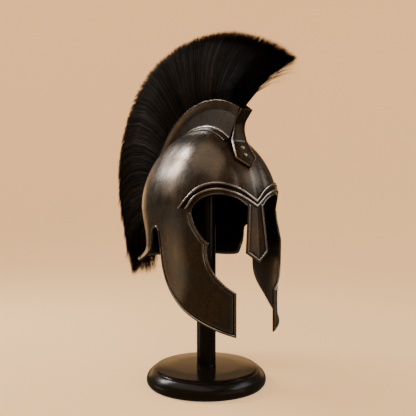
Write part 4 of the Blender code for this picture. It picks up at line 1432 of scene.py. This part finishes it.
    def build(self) -> bpy.types.Object:
        """Makes the piece."""
        angles = np.linspace(self.fan.start, self.fan.end, self.stations)
        stations = [(angle, 1.0) for angle in angles]
        stations += [(self.fan.end - back, 0.0) for back in self.end_wall]
        halves = np.array([self.half_section(angle, hollow) for angle, hollow in stations])
        sections = [self.placed(angle, half) for (angle, _), half in zip(stations, halves)]
        bm = bmesh.new()
        sweep(bm, np.array(sections))
        station, place = swept_places(bm, len(sections[0]))
        mirrored = 2 * len(halves[0]) - 2 - place
        place = np.where(place < len(halves[0]), place, mirrored)
        looks_on(bm, halves[station, place, 2:])
        bmesh.ops.recalc_face_normals(bm, faces=bm.faces)
        material = self.finish.material()
        return to_piece("crest_trough", bm, material, "crest_holder", 45.0)


@dataclass
class CrestStrap:
    """The strap up the trough's front, the bordered plaque at its foot, and the two rivets."""

    fan: Fan
    finish: AntiquedMetal
    brass: CastMetal
    thickness: float = 0.0020
    half_width: float = 0.0110
    lip_reach: float = 0.0125
    top_rise: float = 0.1000
    length: float = 0.0435
    plaque_half_width: float = 0.0210
    keel: float = 0.0016
    gap: float = 0.00084
    lift: float = 0.0064
    border: float = 0.0037
    thin_border: float = 0.0016
    border_raise: float = 0.0018
    # Painted highlight along the strap's top edge; share of the border's wear and painted highlight
    # kept on the strap; painted shade over the strap.
    top_painted_highlight: float = 0.85
    strap_wear_and_highlight: float = 0.36
    strap_painted_shade: float = 0.45
    strap_steps: int = 7
    plaque_steps: int = 12
    rivet_radius: float = 0.0036
    rivet_dome: float = 0.0022
    rivet_foot: float = 0.0003
    rivet_gap: float = 0.0002
    strap_rows: Rows = (
        (0.939, 1.000, 1.02), (0.722, 0.592, 1.00), (0.541, 0.364, 0.96), (0.330, 0.601, 1.00),
    )  # fmt: skip
    plaque_rows: Rows = (
        (0.000, 1.000, 0.730, 0.25), (0.624, 0.000, 1.000, 1.00), (1.000, 0.060, 0.038, 0.00),
    )  # fmt: skip

    def rows(self) -> list[tuple[np.ndarray, float, float, float]]:
        """Rows down the strap: middle of its face, half width, keel and how much border it has."""
        start = self.fan.start
        way, ahead_way = self.fan.way(np.array(start)), self.fan.way(np.array(start + 90.0))
        foot = float(self.fan.bowl_distance(np.array(start), np.array(0.0)))
        rim = self.fan.rim()
        made = []
        for up, ahead, wide in self.strap_rows:
            place = self.fan.centre + way * (foot + (rim - foot) * up)
            place = place + ahead_way * (self.lip_reach * ahead)
            made.append((place, self.half_width * wide, 0.0, 0.0))
        for down, lift, wide, ridge in self.plaque_rows:
            keel = self.keel * ridge
            proud = self.thickness + self.gap - keel + self.lift * lift
            rise = np.array(self.top_rise - self.length * down)
            place = self.fan.bowl.off(np.array(0.0), rise, np.array(proud))
            made.append((place, self.plaque_half_width * wide, keel, 1.0))
        return made

    def fine_rows(self) -> np.ndarray:
        """The rows with more between them: a curve on the strap, straight runs on the plaque."""
        table = np.array([[*place, *rest] for place, *rest in self.rows()])
        *_, top, shoulder, tip = table
        upper = through(table[: len(self.strap_rows) + 1], self.strap_steps)
        upper[-self.strap_steps - 1 : -1, 5] = 0.0
        share = np.linspace(0.0, 1.0, self.plaque_steps + 1)[1:, None]
        lower = top + (shoulder - top) * share, shoulder + (tip - shoulder) * share
        return np.vstack([upper, *lower])

    def section(self, half: float, keel: float, border: float) -> np.ndarray:
        """A closed section across the strap or the plaque.

        Args:
            half: Its half width.
            keel: How far its middle line stands out.
            border: How much border it has: 0 on the strap and 1 on the plaque.

        Returns:
            Rows of side offset, lift, wear with painted highlight, and painted shade.
        """
        raised = self.border_raise * (0.35 + 0.65 * border)
        wide = min(self.thin_border + (self.border - self.thin_border) * border, 0.6 * half)
        # The raised border is worn and painted with a highlight; painted shade runs just inside it.
        face = [
            (half, -0.0004, 0.4, 0.0),
            (half - 0.10 * wide, 0.75 * raised, 1.0, 0.0),
            (half - 0.30 * wide, raised, 0.9, 0.0),
            (half - 0.55 * wide, 0.95 * raised, 0.8, 0.0),
            (half - 0.78 * wide, 0.60 * raised, 0.7, 0.0),
            (half - 1.00 * wide, -0.0002, 0.0, 1.0),
            (half - 1.20 * wide, 0.0, 0.0, 0.6),
            (0.4 * (half - 1.2 * wide), 0.0, 0.0, 0.25),
        ]
        rows = [(-aside, *rest) for aside, *rest in face] + [(0.0, 0.0, 0.0, 0.0)] + face[::-1]
        # Painted shade over the underside.
        rows += [(aside, -self.thickness, 0.0, 1.0) for aside in (half, 0.0, -half)]
        made = np.array(rows, float)
        # The strap keeps less of the border's wear and highlight, and takes painted shade all over.
        made[:, 2] *= self.strap_wear_and_highlight + (1.0 - self.strap_wear_and_highlight) * border
        made[:, 3] = np.maximum(made[:, 3], self.strap_painted_shade * (1.0 - border))
        made[:, 1] += keel * (1.0 - np.abs(made[:, 0]) / half)
        return made

    def build(self) -> bpy.types.Object:
        """Makes the strap and the plaque."""
        rows = self.fine_rows()
        places = rows[:, :3]
        across = np.array([1.0, 0.0, 0.0])
        sections, looks = [], []
        for i, (*_, half, keel, border) in enumerate(rows):
            along = places[min(i + 1, len(rows) - 1)] - places[max(i - 1, 0)]
            along /= np.linalg.norm(along)
            outward = np.array([0.0, along[2], -along[1]])
            section = self.section(half, keel, border)
            sections.append(places[i] + section[:, 1:2] * outward + section[:, 0:1] * across)
            looks.append(section[:, 2:])
        looks = np.array(looks)
        # Painted highlight along the strap's top edge.
        looks[0, :, 0] = np.maximum(looks[0, :, 0], self.top_painted_highlight)
        bm = bmesh.new()
        sweep(bm, np.array(sections))
        looks_on(bm, looks[swept_places(bm, looks.shape[1])])
        bmesh.ops.recalc_face_normals(bm, faces=bm.faces)
        material = self.finish.material()
        return to_piece("crest_strap_plaque", bm, material, "crest_strap", 40.0)

    def rivet(self, node: str, share: float, material: bpy.types.Material) -> bpy.types.Object:
        """Makes one domed rivet with a soft foot, on the plaque's middle line.

        Args:
            node: The CAD node that it stands for.
            share: Its place from the plaque's top to its shoulders.
            material: Its finish.

        Returns:
            The piece.
        """
        (top, _, high_keel, _), (low, _, low_keel, _) = self.rows()[-3:-1]
        along = (low - top) / np.linalg.norm(low - top)
        outward = Vector((0.0, along[2], -along[1]))
        keel = high_keel + (low_keel - high_keel) * share
        seat = Vector(top + (low - top) * share) + outward * (keel + self.rivet_gap)
        turn = np.radians(np.arange(0, 91, 10))
        up = self.rivet_foot + self.rivet_dome * np.sin(turn)
        dome = np.stack([self.rivet_radius * np.cos(turn), up], axis=1)
        foot = np.array([[0.0, 0.0], [self.rivet_radius, 0.0]])
        dome[-1, 0] = 0.0
        bm = bmesh.new()
        spun(bm, np.vstack([foot, dome]), 32)
        turned = outward.to_track_quat("Z", "Y").to_matrix().to_4x4()
        bmesh.ops.transform(bm, matrix=Matrix.Translation(seat) @ turned, verts=bm.verts)
        bmesh.ops.recalc_face_normals(bm, faces=bm.faces)
        name = node.replace("rivet", "rivet_dome")
        return to_piece(name, bm, material, node, 50.0)

    def build_rivets(self) -> None:
        """Makes both rivets."""
        material = self.brass.material()
        self.rivet("rivet_upper", 0.41, material)
        self.rivet("rivet_lower", 0.84, material)


@dataclass
class CrestHair:
    """The brush of horsehair: a dark body and thousands of strands over it, in five sectors."""

    fan: Fan
    finish: BrushHair
    root_start: float = 112.6
    root_end: float = -9.5
    tip_start: float = 131.0
    tip_end: float = -24.0
    length: float = 0.1800
    half_width: float = 0.0170
    trough: float = 0.0082
    floor_rise: float = 0.0044
    neck_drop: float = 0.0175
    neck_rise: float = 0.0005
    neck_share: float = 0.2
    bend: float = 16.0
    sweep_power: float = 1.72
    back_power: float = 0.55
    tuft_span: float = 0.62
    sectors: int = 5
    strands: int = 5400
    strand_gap: float = 10.0
    strand_radius: float = 0.00046
    strand_levels: tuple[float, ...] = (0.1, 0.2, 0.44, 0.66, 0.85)
    body_share: float = 0.80
    edge_share: float = 0.14
    stray_share: float = 0.05
    fallen_share: float = 0.5
    loose_share: float = 0.22
    outer_share: float = 0.82
    reach_rows: Rows = (
        (-24.0, 0.722), (-17.0, 0.724), (-7.0, 0.770), (4.0, 0.903), (16.0, 0.995), (28.0, 1.012),
        (39.0, 0.997), (52.0, 0.917), (65.0, 0.799), (77.0, 0.703), (90.0, 0.640), (108.0, 0.600),
        (122.0, 0.605), (130.4, 0.609),
    )  # fmt: skip
    thickness_rows: Rows = (
        (0.0, 0.80), (0.08, 0.92), (0.34, 1.00), (0.62, 0.88), (0.84, 0.60), (1.00, 0.18),
    )  # fmt: skip
    rim: float = field(init=False)
    angles: np.ndarray = field(init=False)
    floor_up: np.ndarray = field(init=False)
    tufts: np.ndarray = field(init=False)

    def __post_init__(self) -> None:
        """Finds the rim and the trough's floor along the fan, and draws the tufts' chance."""
        self.rim = self.fan.rim()
        self.angles = np.linspace(self.root_end - 4.0, self.root_start + 4.0, 60)
        floor = self.fan.bowl_distance(self.angles, np.zeros_like(self.angles))
        self.floor_up = floor + self.floor_rise
        self.tufts = np.random.default_rng(SEED + 5).normal(0.0, 1.0, (400, 3))

    def swept_back(self, root: np.ndarray) -> np.ndarray:
        """Degrees that the middle of the brush bends back towards the tail."""
        share = (root - self.root_end) / (self.root_start - 7.0 - self.root_end)
        return self.bend * np.sin(math.pi * np.clip(share, 0.0, 1.0) ** 1.15)

    def tip_angle(self, root: np.ndarray) -> np.ndarray:
        """Angle that a strand's tip has swept to."""
        share = (self.root_start - root) / (self.root_start - self.root_end)
        return self.tip_start + (self.tip_end - self.tip_start) * share - self.swept_back(root)

    def reach(self, tip: np.ndarray) -> np.ndarray:
        """Distance of the brush's outline from the centre, by tip angle."""
        table = np.array(self.reach_rows)
        return self.rim + self.length * np.interp(tip, table[:, 0], table[:, 1])

    def half_thickness(self, up: np.ndarray, reach: np.ndarray, root: np.ndarray) -> np.ndarray:
        """Half thickness of the brush.

        Args:
            up: Distances from the centre.
            reach: Distances of the outline from the centre, in the same places.
            root: Root angles of the strands there.

        Returns:
            One half thickness per place.
        """
        table = np.array(self.thickness_rows)
        share = np.clip((up - self.rim) / (reach - self.rim), 0.0, 1.0)
        over = self.half_width * np.interp(share, table[:, 0], table[:, 1])
        out = np.clip((up - self.rim + 0.017) / 0.020, 0.0, 1.0)
        neck = self.trough + np.maximum(over - self.trough, 0.0) * out**2.2
        edge = np.clip(np.minimum(self.root_start - root, root - self.root_end) / 9.0, 0.0, 1.0)
        taper = 0.45 + 0.55 * np.sin(0.5 * np.pi * edge)
        return np.where(up < self.rim + 0.003, np.minimum(neck, over), over) * taper

    def path(
        self,
        root: np.ndarray,
        tip: np.ndarray,
        reach: np.ndarray,
        side: np.ndarray,
        share: np.ndarray,
    ) -> np.ndarray:
        """Points of strands from trough to tip.

        Args:
            root: Each strand's root angle.
            tip: Each strand's tip angle.
            reach: Each strand's tip distance.
            side: Each strand's place across the brush, from -1 to 1.
            share: How far along its strand each point is.

        Returns:
            One row of X, Y and Z per point.
        """
        start = np.interp(root, self.angles, self.floor_up)
        neck = np.maximum(start, self.rim - self.neck_drop)
        within = start + (neck - start) * share / (0.5 * self.neck_share)
        free = (share - self.neck_share) / (1.0 - self.neck_share)
        over = self.rim + self.neck_rise
        up = np.where(share < self.neck_share, within, over + (reach - over) * free)
        power = self.sweep_power + self.back_power * smooth_step(self.root_start - 8.0, -40.0, root)
        angle = root + (tip - root) * share**power
        aside = side * self.half_thickness(up, self.reach(tip), root)
        return self.fan.place(angle, aside, up)

    def ends(self, first: float, last: float) -> tuple[bool, bool]:
        """Whether a sector with these first and last root angles is the front one, or the rear."""
        return first > self.root_start - 0.1, last < self.root_end + 0.1

    def body(self, bm: bmesh.types.BMesh, first: float, last: float) -> None:
        """Adds the dark body under one sector's strands.

        Args:
            bm: The mesh to add to.
            first: The sector's first root angle.
            last: The sector's last root angle.
        """
        front, tail = self.ends(first, last)
        rising = np.concatenate([[0.0, 0.1, 0.14, 0.17, 0.2], np.linspace(0.26, 0.93, 10)])
        shares = np.concatenate([rising, rising[::-1]])
        side = np.repeat([self.body_share, -self.body_share], len(rising))
        sections = []
        for angle in np.linspace(first - 2.2 * front, last + 1.2 * tail, 25):
            root = np.full(len(shares), angle)
            tip = self.tip_angle(root)
            reach = self.reach(tip) - 0.0045 - 0.0085 * smooth_step(34.0, -30.0, angle)
            sections.append(self.path(root, tip, reach, side, shares))
        sweep(bm, np.array(sections))

    def lay_strands(self, bm: bmesh.types.BMesh, count: int) -> None:
        """Adds straight strands, 1 tall, side by side along X.

        Args:
            bm: The mesh to add to.
            count: How many.
        """
        made = bmesh.ops.create_cone(
            bm, segments=3, radius1=1.0, radius2=0.0, depth=1.0, cap_ends=False
        )
        bmesh.ops.translate(bm, verts=made["verts"], vec=(0.0, 0.0, 0.5))
        for level in self.strand_levels:
            geometry = bm.verts[:] + bm.edges[:] + bm.faces[:]
            cut = {"plane_co": (0.0, 0.0, level), "plane_no": (0.0, 0.0, 1.0)}
            bmesh.ops.bisect_plane(bm, geom=geometry, dist=MERGE_DISTANCE, **cut)
        have = 1
        while have < count:
            copies = bmesh.ops.duplicate(bm, geom=bm.verts[:] + bm.edges[:] + bm.faces[:])["geom"]
            moved = [item for item in copies if isinstance(item, bmesh.types.BMVert)]
            bmesh.ops.translate(bm, verts=moved, vec=(self.strand_gap * have, 0.0, 0.0))
            have *= 2
        end = self.strand_gap * (count - 0.5)
        extra = [corner for corner in bm.verts if corner.co.x > end]
        bmesh.ops.delete(bm, geom=extra, context="VERTS")

    def tips(
        self, root: np.ndarray, loose: np.ndarray, rng: np.random.Generator
    ) -> tuple[np.ndarray, np.ndarray, np.ndarray]:
        """Where strands end: in tufts, with strays, and fallen or blown ones at the brush's ends.

        Args:
            root: Their root angles.
            loose: Whether each may hang loose over the front edge.
            rng: Where their chance comes from.

        Returns:
            Tip angles, tip distances, and the three draws of each one's tuft.
        """
        count = len(root)
        tuft = np.round(root / self.tuft_span + rng.normal(0.0, 0.22, count))
        chosen = self.tufts[(tuft + 100).astype(int) % len(self.tufts)]
        rough, wild = smooth_step(84.0, -50.0, root), smooth_step(34.0, -30.0, root)
        pull = rng.uniform(0.15, 0.50, count) + 0.30 * rough
        swept = root + (tuft * self.tuft_span - root) * pull + 0.24 * chosen[:, 0]
        tip = self.tip_angle(swept + rng.normal(0.0, 0.20, count))
        inset = (0.0035 + 0.0035 * wild) * np.abs(rng.normal(0.0, 1.0, count)) ** 1.3
        inset = inset + (0.0006 + 0.0014 * rough + 0.0050 * wild) * chosen[:, 1] - 0.0012
        stray = rng.random(count) < self.stray_share
        inset = np.where(stray, -rng.uniform(0.0, 0.005, count), inset)
        reach = np.maximum(self.reach(tip) - inset, self.rim + 0.03)
        fallen = (rng.random(count) < self.fallen_share) & (root < self.root_end + 7.0)
        drop = rng.uniform(0.0, 6.0, count)
        tip = np.where(fallen, tip - drop, tip)
        short = self.length * (0.065 * drop + rng.uniform(0.0, 0.12, count))
        reach = np.where(fallen, reach - short, reach)
        tip = tip - wild * rng.uniform(-0.6, 1.0, count)
        loose = loose & (rng.random(count) < self.loose_share)
        ahead = np.where(loose, rng.exponential(1.4, count), 0.0)
        return tip + ahead, reach - 0.0035 * ahead, chosen

    def sides(self, facing: np.ndarray, rng: np.random.Generator) -> np.ndarray:
        """Places across the brush, from -1 to 1, most of them near its two faces.

        Args:
            facing: Whether each strand stands on the brush's front or rear edge.
            rng: Where their chance comes from.

        Returns:
            One place per strand.
        """
        count = len(facing)
        outer = rng.random(count) < self.outer_share
        side = np.where(outer, rng.uniform(0.80, 1.04, count), rng.uniform(0.0, 0.85, count))
        side = side * np.where(rng.random(count) < 0.5, -1.0, 1.0)
        return np.where(facing, rng.uniform(-1.0, 1.0, count), side)

    def bend_strands(
        self, flat: np.ndarray, count: int, first: float, last: float, rng: np.random.Generator
    ) -> tuple[np.ndarray, np.ndarray, np.ndarray]:
        """Bends the straight strands to the brush.

        Args:
            flat: The straight strands' vertices.
            count: How many strands there are.
            first: The sector's first root angle.
            last: The sector's last root angle.
            rng: Where the strands' chance comes from.

        Returns:
            The bent vertices, each one's tone with the painted shade at the brush's front end, and
            how far along its strand it is.
        """
        root = rng.uniform(last, first, count)
        front, tail = self.ends(first, last)
        facing = (rng.random(count) < self.edge_share) & (front or tail)
        near = rng.exponential(0.7, count)
        root = np.where(facing, first - near if front else last + near, root)
        tip, reach, chosen = self.tips(root, facing & front, rng)
        side = self.sides(facing, rng)
        number = np.round(flat[:, 0] / self.strand_gap).astype(int)
        turn = np.arctan2(flat[:, 1], flat[:, 0] - self.strand_gap * number)
        share = np.clip(flat[:, 2], 0.0, 1.0)
        speed, phase = rng.uniform(2.0, 6.0, count), rng.uniform(0.0, 6.28, count)
        wave = 0.35 * np.sin(share * speed[number] + phase[number])
        centre = self.path(
            root[number], tip[number] + wave * share, reach[number], side[number], share
        )
        size = self.strand_radius * rng.uniform(0.7, 1.35, count)
        flare = (size[number] * (1.0 - share**5))[:, None]
        across = self.fan.way(root[number] + 90.0)
        points = centre + across * (np.cos(turn)[:, None] * flare)
        points = points + np.array([1.0, 0.0, 0.0]) * (np.sin(turn)[:, None] * flare)
        tone_and_shade = 0.5 + 0.20 * rng.normal(0.0, 1.0, count) + 0.13 * chosen[:, 2]
        # Painted shade: the strands at the brush's front end are darker.
        shade = 0.45 + 0.55 * smooth_step(3.0, 16.0, self.root_start - root)
        return points, (np.clip(tone_and_shade, 0.0, 1.0) * shade)[number], share

    def sector(self, number: int, material: bpy.types.Material) -> bpy.types.Object:
        """Makes one sector.

        Args:
            number: Its number from the front, from 0.
            material: Its finish.

        Returns:
            The piece.
        """
        rng = np.random.default_rng(SEED + number)
        span = (self.root_start - self.root_end) / self.sectors
        bounds = [self.root_start - span * number, self.root_start - span * number - span]
        first, last = (angle + 0.4 * float(self.swept_back(np.array(angle))) for angle in bounds)
        count = self.strands
        bm = bmesh.new()
        self.lay_strands(bm, count)
        points, tone_and_shade, along = self.bend_strands(coordinates(bm), count, first, last, rng)
        move_to(bm, points)
        self.body(bm, first, last)
        bmesh.ops.recalc_face_normals(bm, faces=bm.faces)
        # The body under the strands takes the hair's darkest colour: painted shade inside the
        # brush.
        dark = np.zeros(len(bm.verts) - len(points))
        name, node = f"hair_brush_{number + 1}", f"crest_hair_{number + 1}"
        piece = to_piece(name, bm, material, node, 180.0)
        numbers(piece.data, "tone_and_shade", np.concatenate([tone_and_shade, dark]))
        numbers(piece.data, "along", np.concatenate([along, dark]))
        return piece

    def build(self) -> None:
        """Makes the five sectors."""
        material = self.finish.material()
        for number in range(self.sectors):
            self.sector(number, material)


@dataclass
class DisplayStand:
    """Turned stand in black lacquer: stepped base, post and the cap under the crown."""

    finish: Lacquer
    base_radius: float = 0.1040
    base_height: float = 0.0293
    top_radius: float = 0.0888
    step: float = 0.0035
    foot_inset: float = 0.0040
    post_radius: float = 0.0166
    post_bottom: float = 0.0296
    post_length: float = 0.3690

    def base_profile(self) -> np.ndarray:
        """Radius and height rows of the base, from its underside up to its middle."""
        rim, foot = self.base_height - self.step, self.base_radius - self.foot_inset
        chosen = [
            (foot, 0.0004),
            (self.base_radius - 0.20 * self.foot_inset, 0.16 * rim),
            (self.base_radius, 0.42 * rim),
            (self.base_radius - 0.0027, 0.68 * rim),
            (self.base_radius - 0.0094, 0.94 * rim),
            (self.top_radius + 0.0012, rim),
        ]
        top, height = self.top_radius, self.base_height
        disc = [
            (top + 0.0004, rim - 0.0004),
            (top - 0.0002, rim + 0.0002),
            (top, rim + 0.0008),
            (top, height - 0.0012),
            (top - 0.0003, height - 0.0005),
            (top - 0.0010, height - 0.0001),
            (top - 0.0016, height),
            (0.6 * top, height),
            (0.3 * top, height),
            (0.0, height),
        ]
        return np.vstack([[(0.0, 0.0), (foot, 0.0)], through(np.array(chosen), 8), disc])

    def post_profile(self) -> np.ndarray:
        """Radius and height rows of the post, with the thin collar at its foot."""
        low, radius = self.post_bottom, self.post_radius
        top = low + self.post_length
        foot = [
            (0.0, low),
            (radius + 0.0006, low),
            (radius + 0.0006, low + 0.0016),
            (radius + 0.0003, low + 0.0022),
            (radius, low + 0.0026),
        ]
        shaft = [(radius, low + (top - low) * share) for share in (0.05, 0.25, 0.5, 0.75, 0.99)]
        return np.array([*foot, *shaft, (radius - 0.0004, top), (0.0, top)])

    def build(self, cap: bpy.types.Object) -> None:
        """Makes the base and the post, and finishes the plain cap, whose shape stays.

        Args:
            cap: The cap's CAD object.
        """
        material = self.finish.material()
        for name, node, profile, steps in (
            ("base_turned", "stand_base", self.base_profile(), 128),
            ("post_turned", "stand_post", self.post_profile(), 72),
        ):
            bm = bmesh.new()
            spun(bm, profile, steps)
            bmesh.ops.recalc_face_normals(bm, faces=bm.faces)
            to_piece(name, bm, material, node, 35.0)
        cap.data.materials.clear()
        cap.data.materials.append(self.finish.material())
        LOG.info("%s: its CAD mesh, in lacquer", cap.name)


@dataclass(frozen=True)
class Lamp:
    """An area light that faces the helmet.

    Its azimuth is in degrees to the right of the camera's own, its size is width and height, and
    its power is in watts. A gloss lamp lights no matt surface, and only shows in the metal's shine.
    """

    name: str
    azimuth: float
    elevation: float
    far: float
    size: tuple[float, float]
    power: float
    tint: Colour
    gloss: bool = False


@dataclass
class Studio:
    """Round pale floor that curves up into a wall, soft lights, and the photo's camera."""

    paper: StudioPaper
    lamps: tuple[Lamp, ...]
    glow: Colour = (1.0, 0.82, 0.60)
    glow_strength: float = 0.15
    side: float = -35.01
    pitch: float = 1.01
    distance: float = 1.0078
    height: float = 0.3226
    shift: float = 1.70
    lamp_aim: float = 0.33
    floor_radius: float = 1.4
    wall_curve: float = 1.8
    wall_top: float = 2.6

    def floor(self) -> None:
        """Spins the floor and its curved wall as one sheet of paper, which metal doesn't mirror."""
        flat = [(0.0, 0.0), (0.5, 0.0), (1.0, 0.0), (self.floor_radius, 0.0)]
        turn = np.radians(np.arange(3, 91, 3))
        out = self.floor_radius + self.wall_curve * np.sin(turn)
        up = self.wall_curve - self.wall_curve * np.cos(turn)
        top = (self.floor_radius + self.wall_curve, self.wall_top)
        bm = bmesh.new()
        spun(bm, np.vstack([flat, np.stack([out, up], axis=1), top]), 96)
        bmesh.ops.recalc_face_normals(bm, faces=bm.faces)
        bmesh.ops.reverse_faces(bm, faces=bm.faces)
        mesh = bpy.data.meshes.new("studio_floor")
        bm.to_mesh(mesh)
        bm.free()
        mesh.materials.append(self.paper.material())
        mesh.shade_smooth()
        piece = bpy.data.objects.new("studio_floor", mesh)
        piece.visible_glossy = False
        bpy.context.scene.collection.objects.link(piece)

    def light(self, lamp: Lamp) -> None:
        """Adds one lamp.

        Args:
            lamp: Its sizes and its place.
        """
        turn, rise = math.radians(self.side + lamp.azimuth), math.radians(lamp.elevation)
        flat = math.cos(rise)
        back = Vector((math.sin(turn) * flat, -math.cos(turn) * flat, math.sin(rise)))
        data = bpy.data.lights.new(lamp.name, "AREA")
        data.shape = "RECTANGLE"
        data.size, data.size_y = lamp.size
        data.energy, data.color = lamp.power, lamp.tint
        made = bpy.data.objects.new(lamp.name, data)
        made.location = Vector((0.0, 0.0, self.lamp_aim)) + back * lamp.far
        made.rotation_mode = "QUATERNION"
        made.rotation_quaternion = (-back).to_track_quat("-Z", "Y")
        made.visible_camera = False
        made.visible_diffuse = not lamp.gloss
        bpy.context.scene.collection.objects.link(made)

    def world(self) -> None:
        """Sets the faint glow all round."""
        world = bpy.data.worlds.new("studio_world")
        world.use_nodes = True
        glow = world.node_tree.nodes["Background"]
        glow.inputs["Color"].default_value = (*self.glow, 1.0)
        glow.inputs["Strength"].default_value = self.glow_strength
        bpy.context.scene.world = world

    def camera(self) -> None:
        """Places the camera where the photo was taken from."""
        turn, pitch = math.radians(self.side), math.radians(self.pitch)
        back = Vector((math.sin(turn), -math.cos(turn), 0.0))
        right = Vector((math.cos(turn), math.sin(turn), 0.0))
        forward = -back * math.cos(pitch) + Vector((0.0, 0.0, -math.sin(pitch)))
        matrix = Matrix((right, right.cross(forward), -forward)).transposed().to_4x4()
        matrix.translation = back * self.distance + Vector((0.0, 0.0, self.height))
        data = bpy.data.cameras.new("photo_camera")
        data.lens, data.sensor_width, data.shift_x = 50.0, 36.0, self.shift / PHOTO_WIDTH
        lens = bpy.data.objects.new("photo_camera", data)
        lens.matrix_world = matrix
        bpy.context.scene.collection.objects.link(lens)
        bpy.context.scene.camera = lens

    def build(self) -> None:
        """Makes the whole studio."""
        self.camera()
        self.world()
        for lamp in self.lamps:
            self.light(lamp)
        self.floor()


COOL, WARM = (1.0, 0.98, 0.96), (1.0, 0.88, 0.72)
LAMPS = (
    Lamp("left_softbox", -112.0, 29.0, 1.3, (0.17, 0.26), 8.0, COOL),
    Lamp("high_softbox", -121.0, 40.5, 1.3, (0.25, 0.17), 7.0, COOL),
    Lamp("right_softbox", 81.0, 31.0, 1.3, (0.90, 0.45), 5.0, (0.94, 0.97, 1.0)),
    Lamp("top_softbox", -40.0, 68.0, 1.9, (2.4, 1.6), 15.0, WARM),
    Lamp("left_wash", -104.0, 17.0, 1.6, (0.24, 0.28), 0.95, WARM, gloss=True),
    Lamp("low_wash", -94.0, -14.0, 1.6, (0.65, 0.55), 1.20, WARM, gloss=True),
    Lamp("right_wash", 44.0, 2.0, 1.6, (1.10, 0.60), 1.25, WARM, gloss=True),
    Lamp("post_strip", 68.0, 0.0, 1.6, (0.10, 0.90), 0.8, WARM, gloss=True),
    Lamp("back_glow", -150.0, 8.0, 1.9, (0.80, 0.70), 1.1, (1.0, 0.62, 0.30), gloss=True),
    Lamp("disc_panel", 180.0, 19.0, 1.9, (1.60, 0.45), 0.95, (1.0, 0.53, 0.21), gloss=True),
    Lamp("back_panel", 180.0, 0.0, 1.9, (3.0, 0.50), 5.9, (1.0, 0.55, 0.20), gloss=True),
)
STEEL = AntiquedMetal(
    "antiqued_steel",
    body=(0.076, 0.070, 0.063),
    patina=(0.125, 0.085, 0.053),
    rubbed_and_lit=(0.27, 0.24, 0.21),
    copper=(0.27, 0.155, 0.085),
)
BROWN_STEEL = AntiquedMetal(
    "antiqued_brown_steel",
    body=(0.060, 0.049, 0.038),
    patina=(0.105, 0.064, 0.036),
    rubbed_and_lit=(0.21, 0.155, 0.105),
    copper=(0.24, 0.13, 0.065),
    bare=(0.80, 0.77, 0.73),
)
STRAP_BRONZE = AntiquedMetal(
    "rubbed_strap_bronze",
    body=(0.060, 0.052, 0.044),
    patina=(0.090, 0.066, 0.046),
    rubbed_and_lit=(0.30, 0.21, 0.14),
    copper=(0.32, 0.18, 0.09),
    bare=(0.60, 0.43, 0.28),
)
BRONZE = AntiquedMetal(
    "rubbed_bronze",
    body=(0.066, 0.056, 0.046),
    patina=(0.095, 0.070, 0.048),
    rubbed_and_lit=(0.27, 0.235, 0.20),
    copper=(0.28, 0.165, 0.09),
)
BRASS = CastMetal("dull_brass", body=(0.74, 0.53, 0.29), tarnish=(0.42, 0.27, 0.14))


def main() -> None:
    """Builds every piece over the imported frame."""
    logging.basicConfig(level=logging.INFO, format="%(message)s")
    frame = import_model()
    bowl = Bowl(widest_level=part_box("helmet_shell")[1].z - Bowl.crown_rise)
    edge = CutEdge(bowl)
    fan = Fan(bowl)
    Studio(StudioPaper(), LAMPS).build()
    HelmetShell(bowl, edge, STEEL).build()
    BrowBand(bowl, edge, BRONZE).build()
    CrestHolder(fan, BROWN_STEEL).build()
    strap = CrestStrap(fan, STRAP_BRONZE, BRASS)
    strap.build()
    strap.build_rivets()
    CrestHair(fan, BrushHair("black_hair")).build()
    DisplayStand(Lacquer("black_lacquer")).build(frame["nodes"]["stand_head"])


if __name__ == "__main__":
    main()
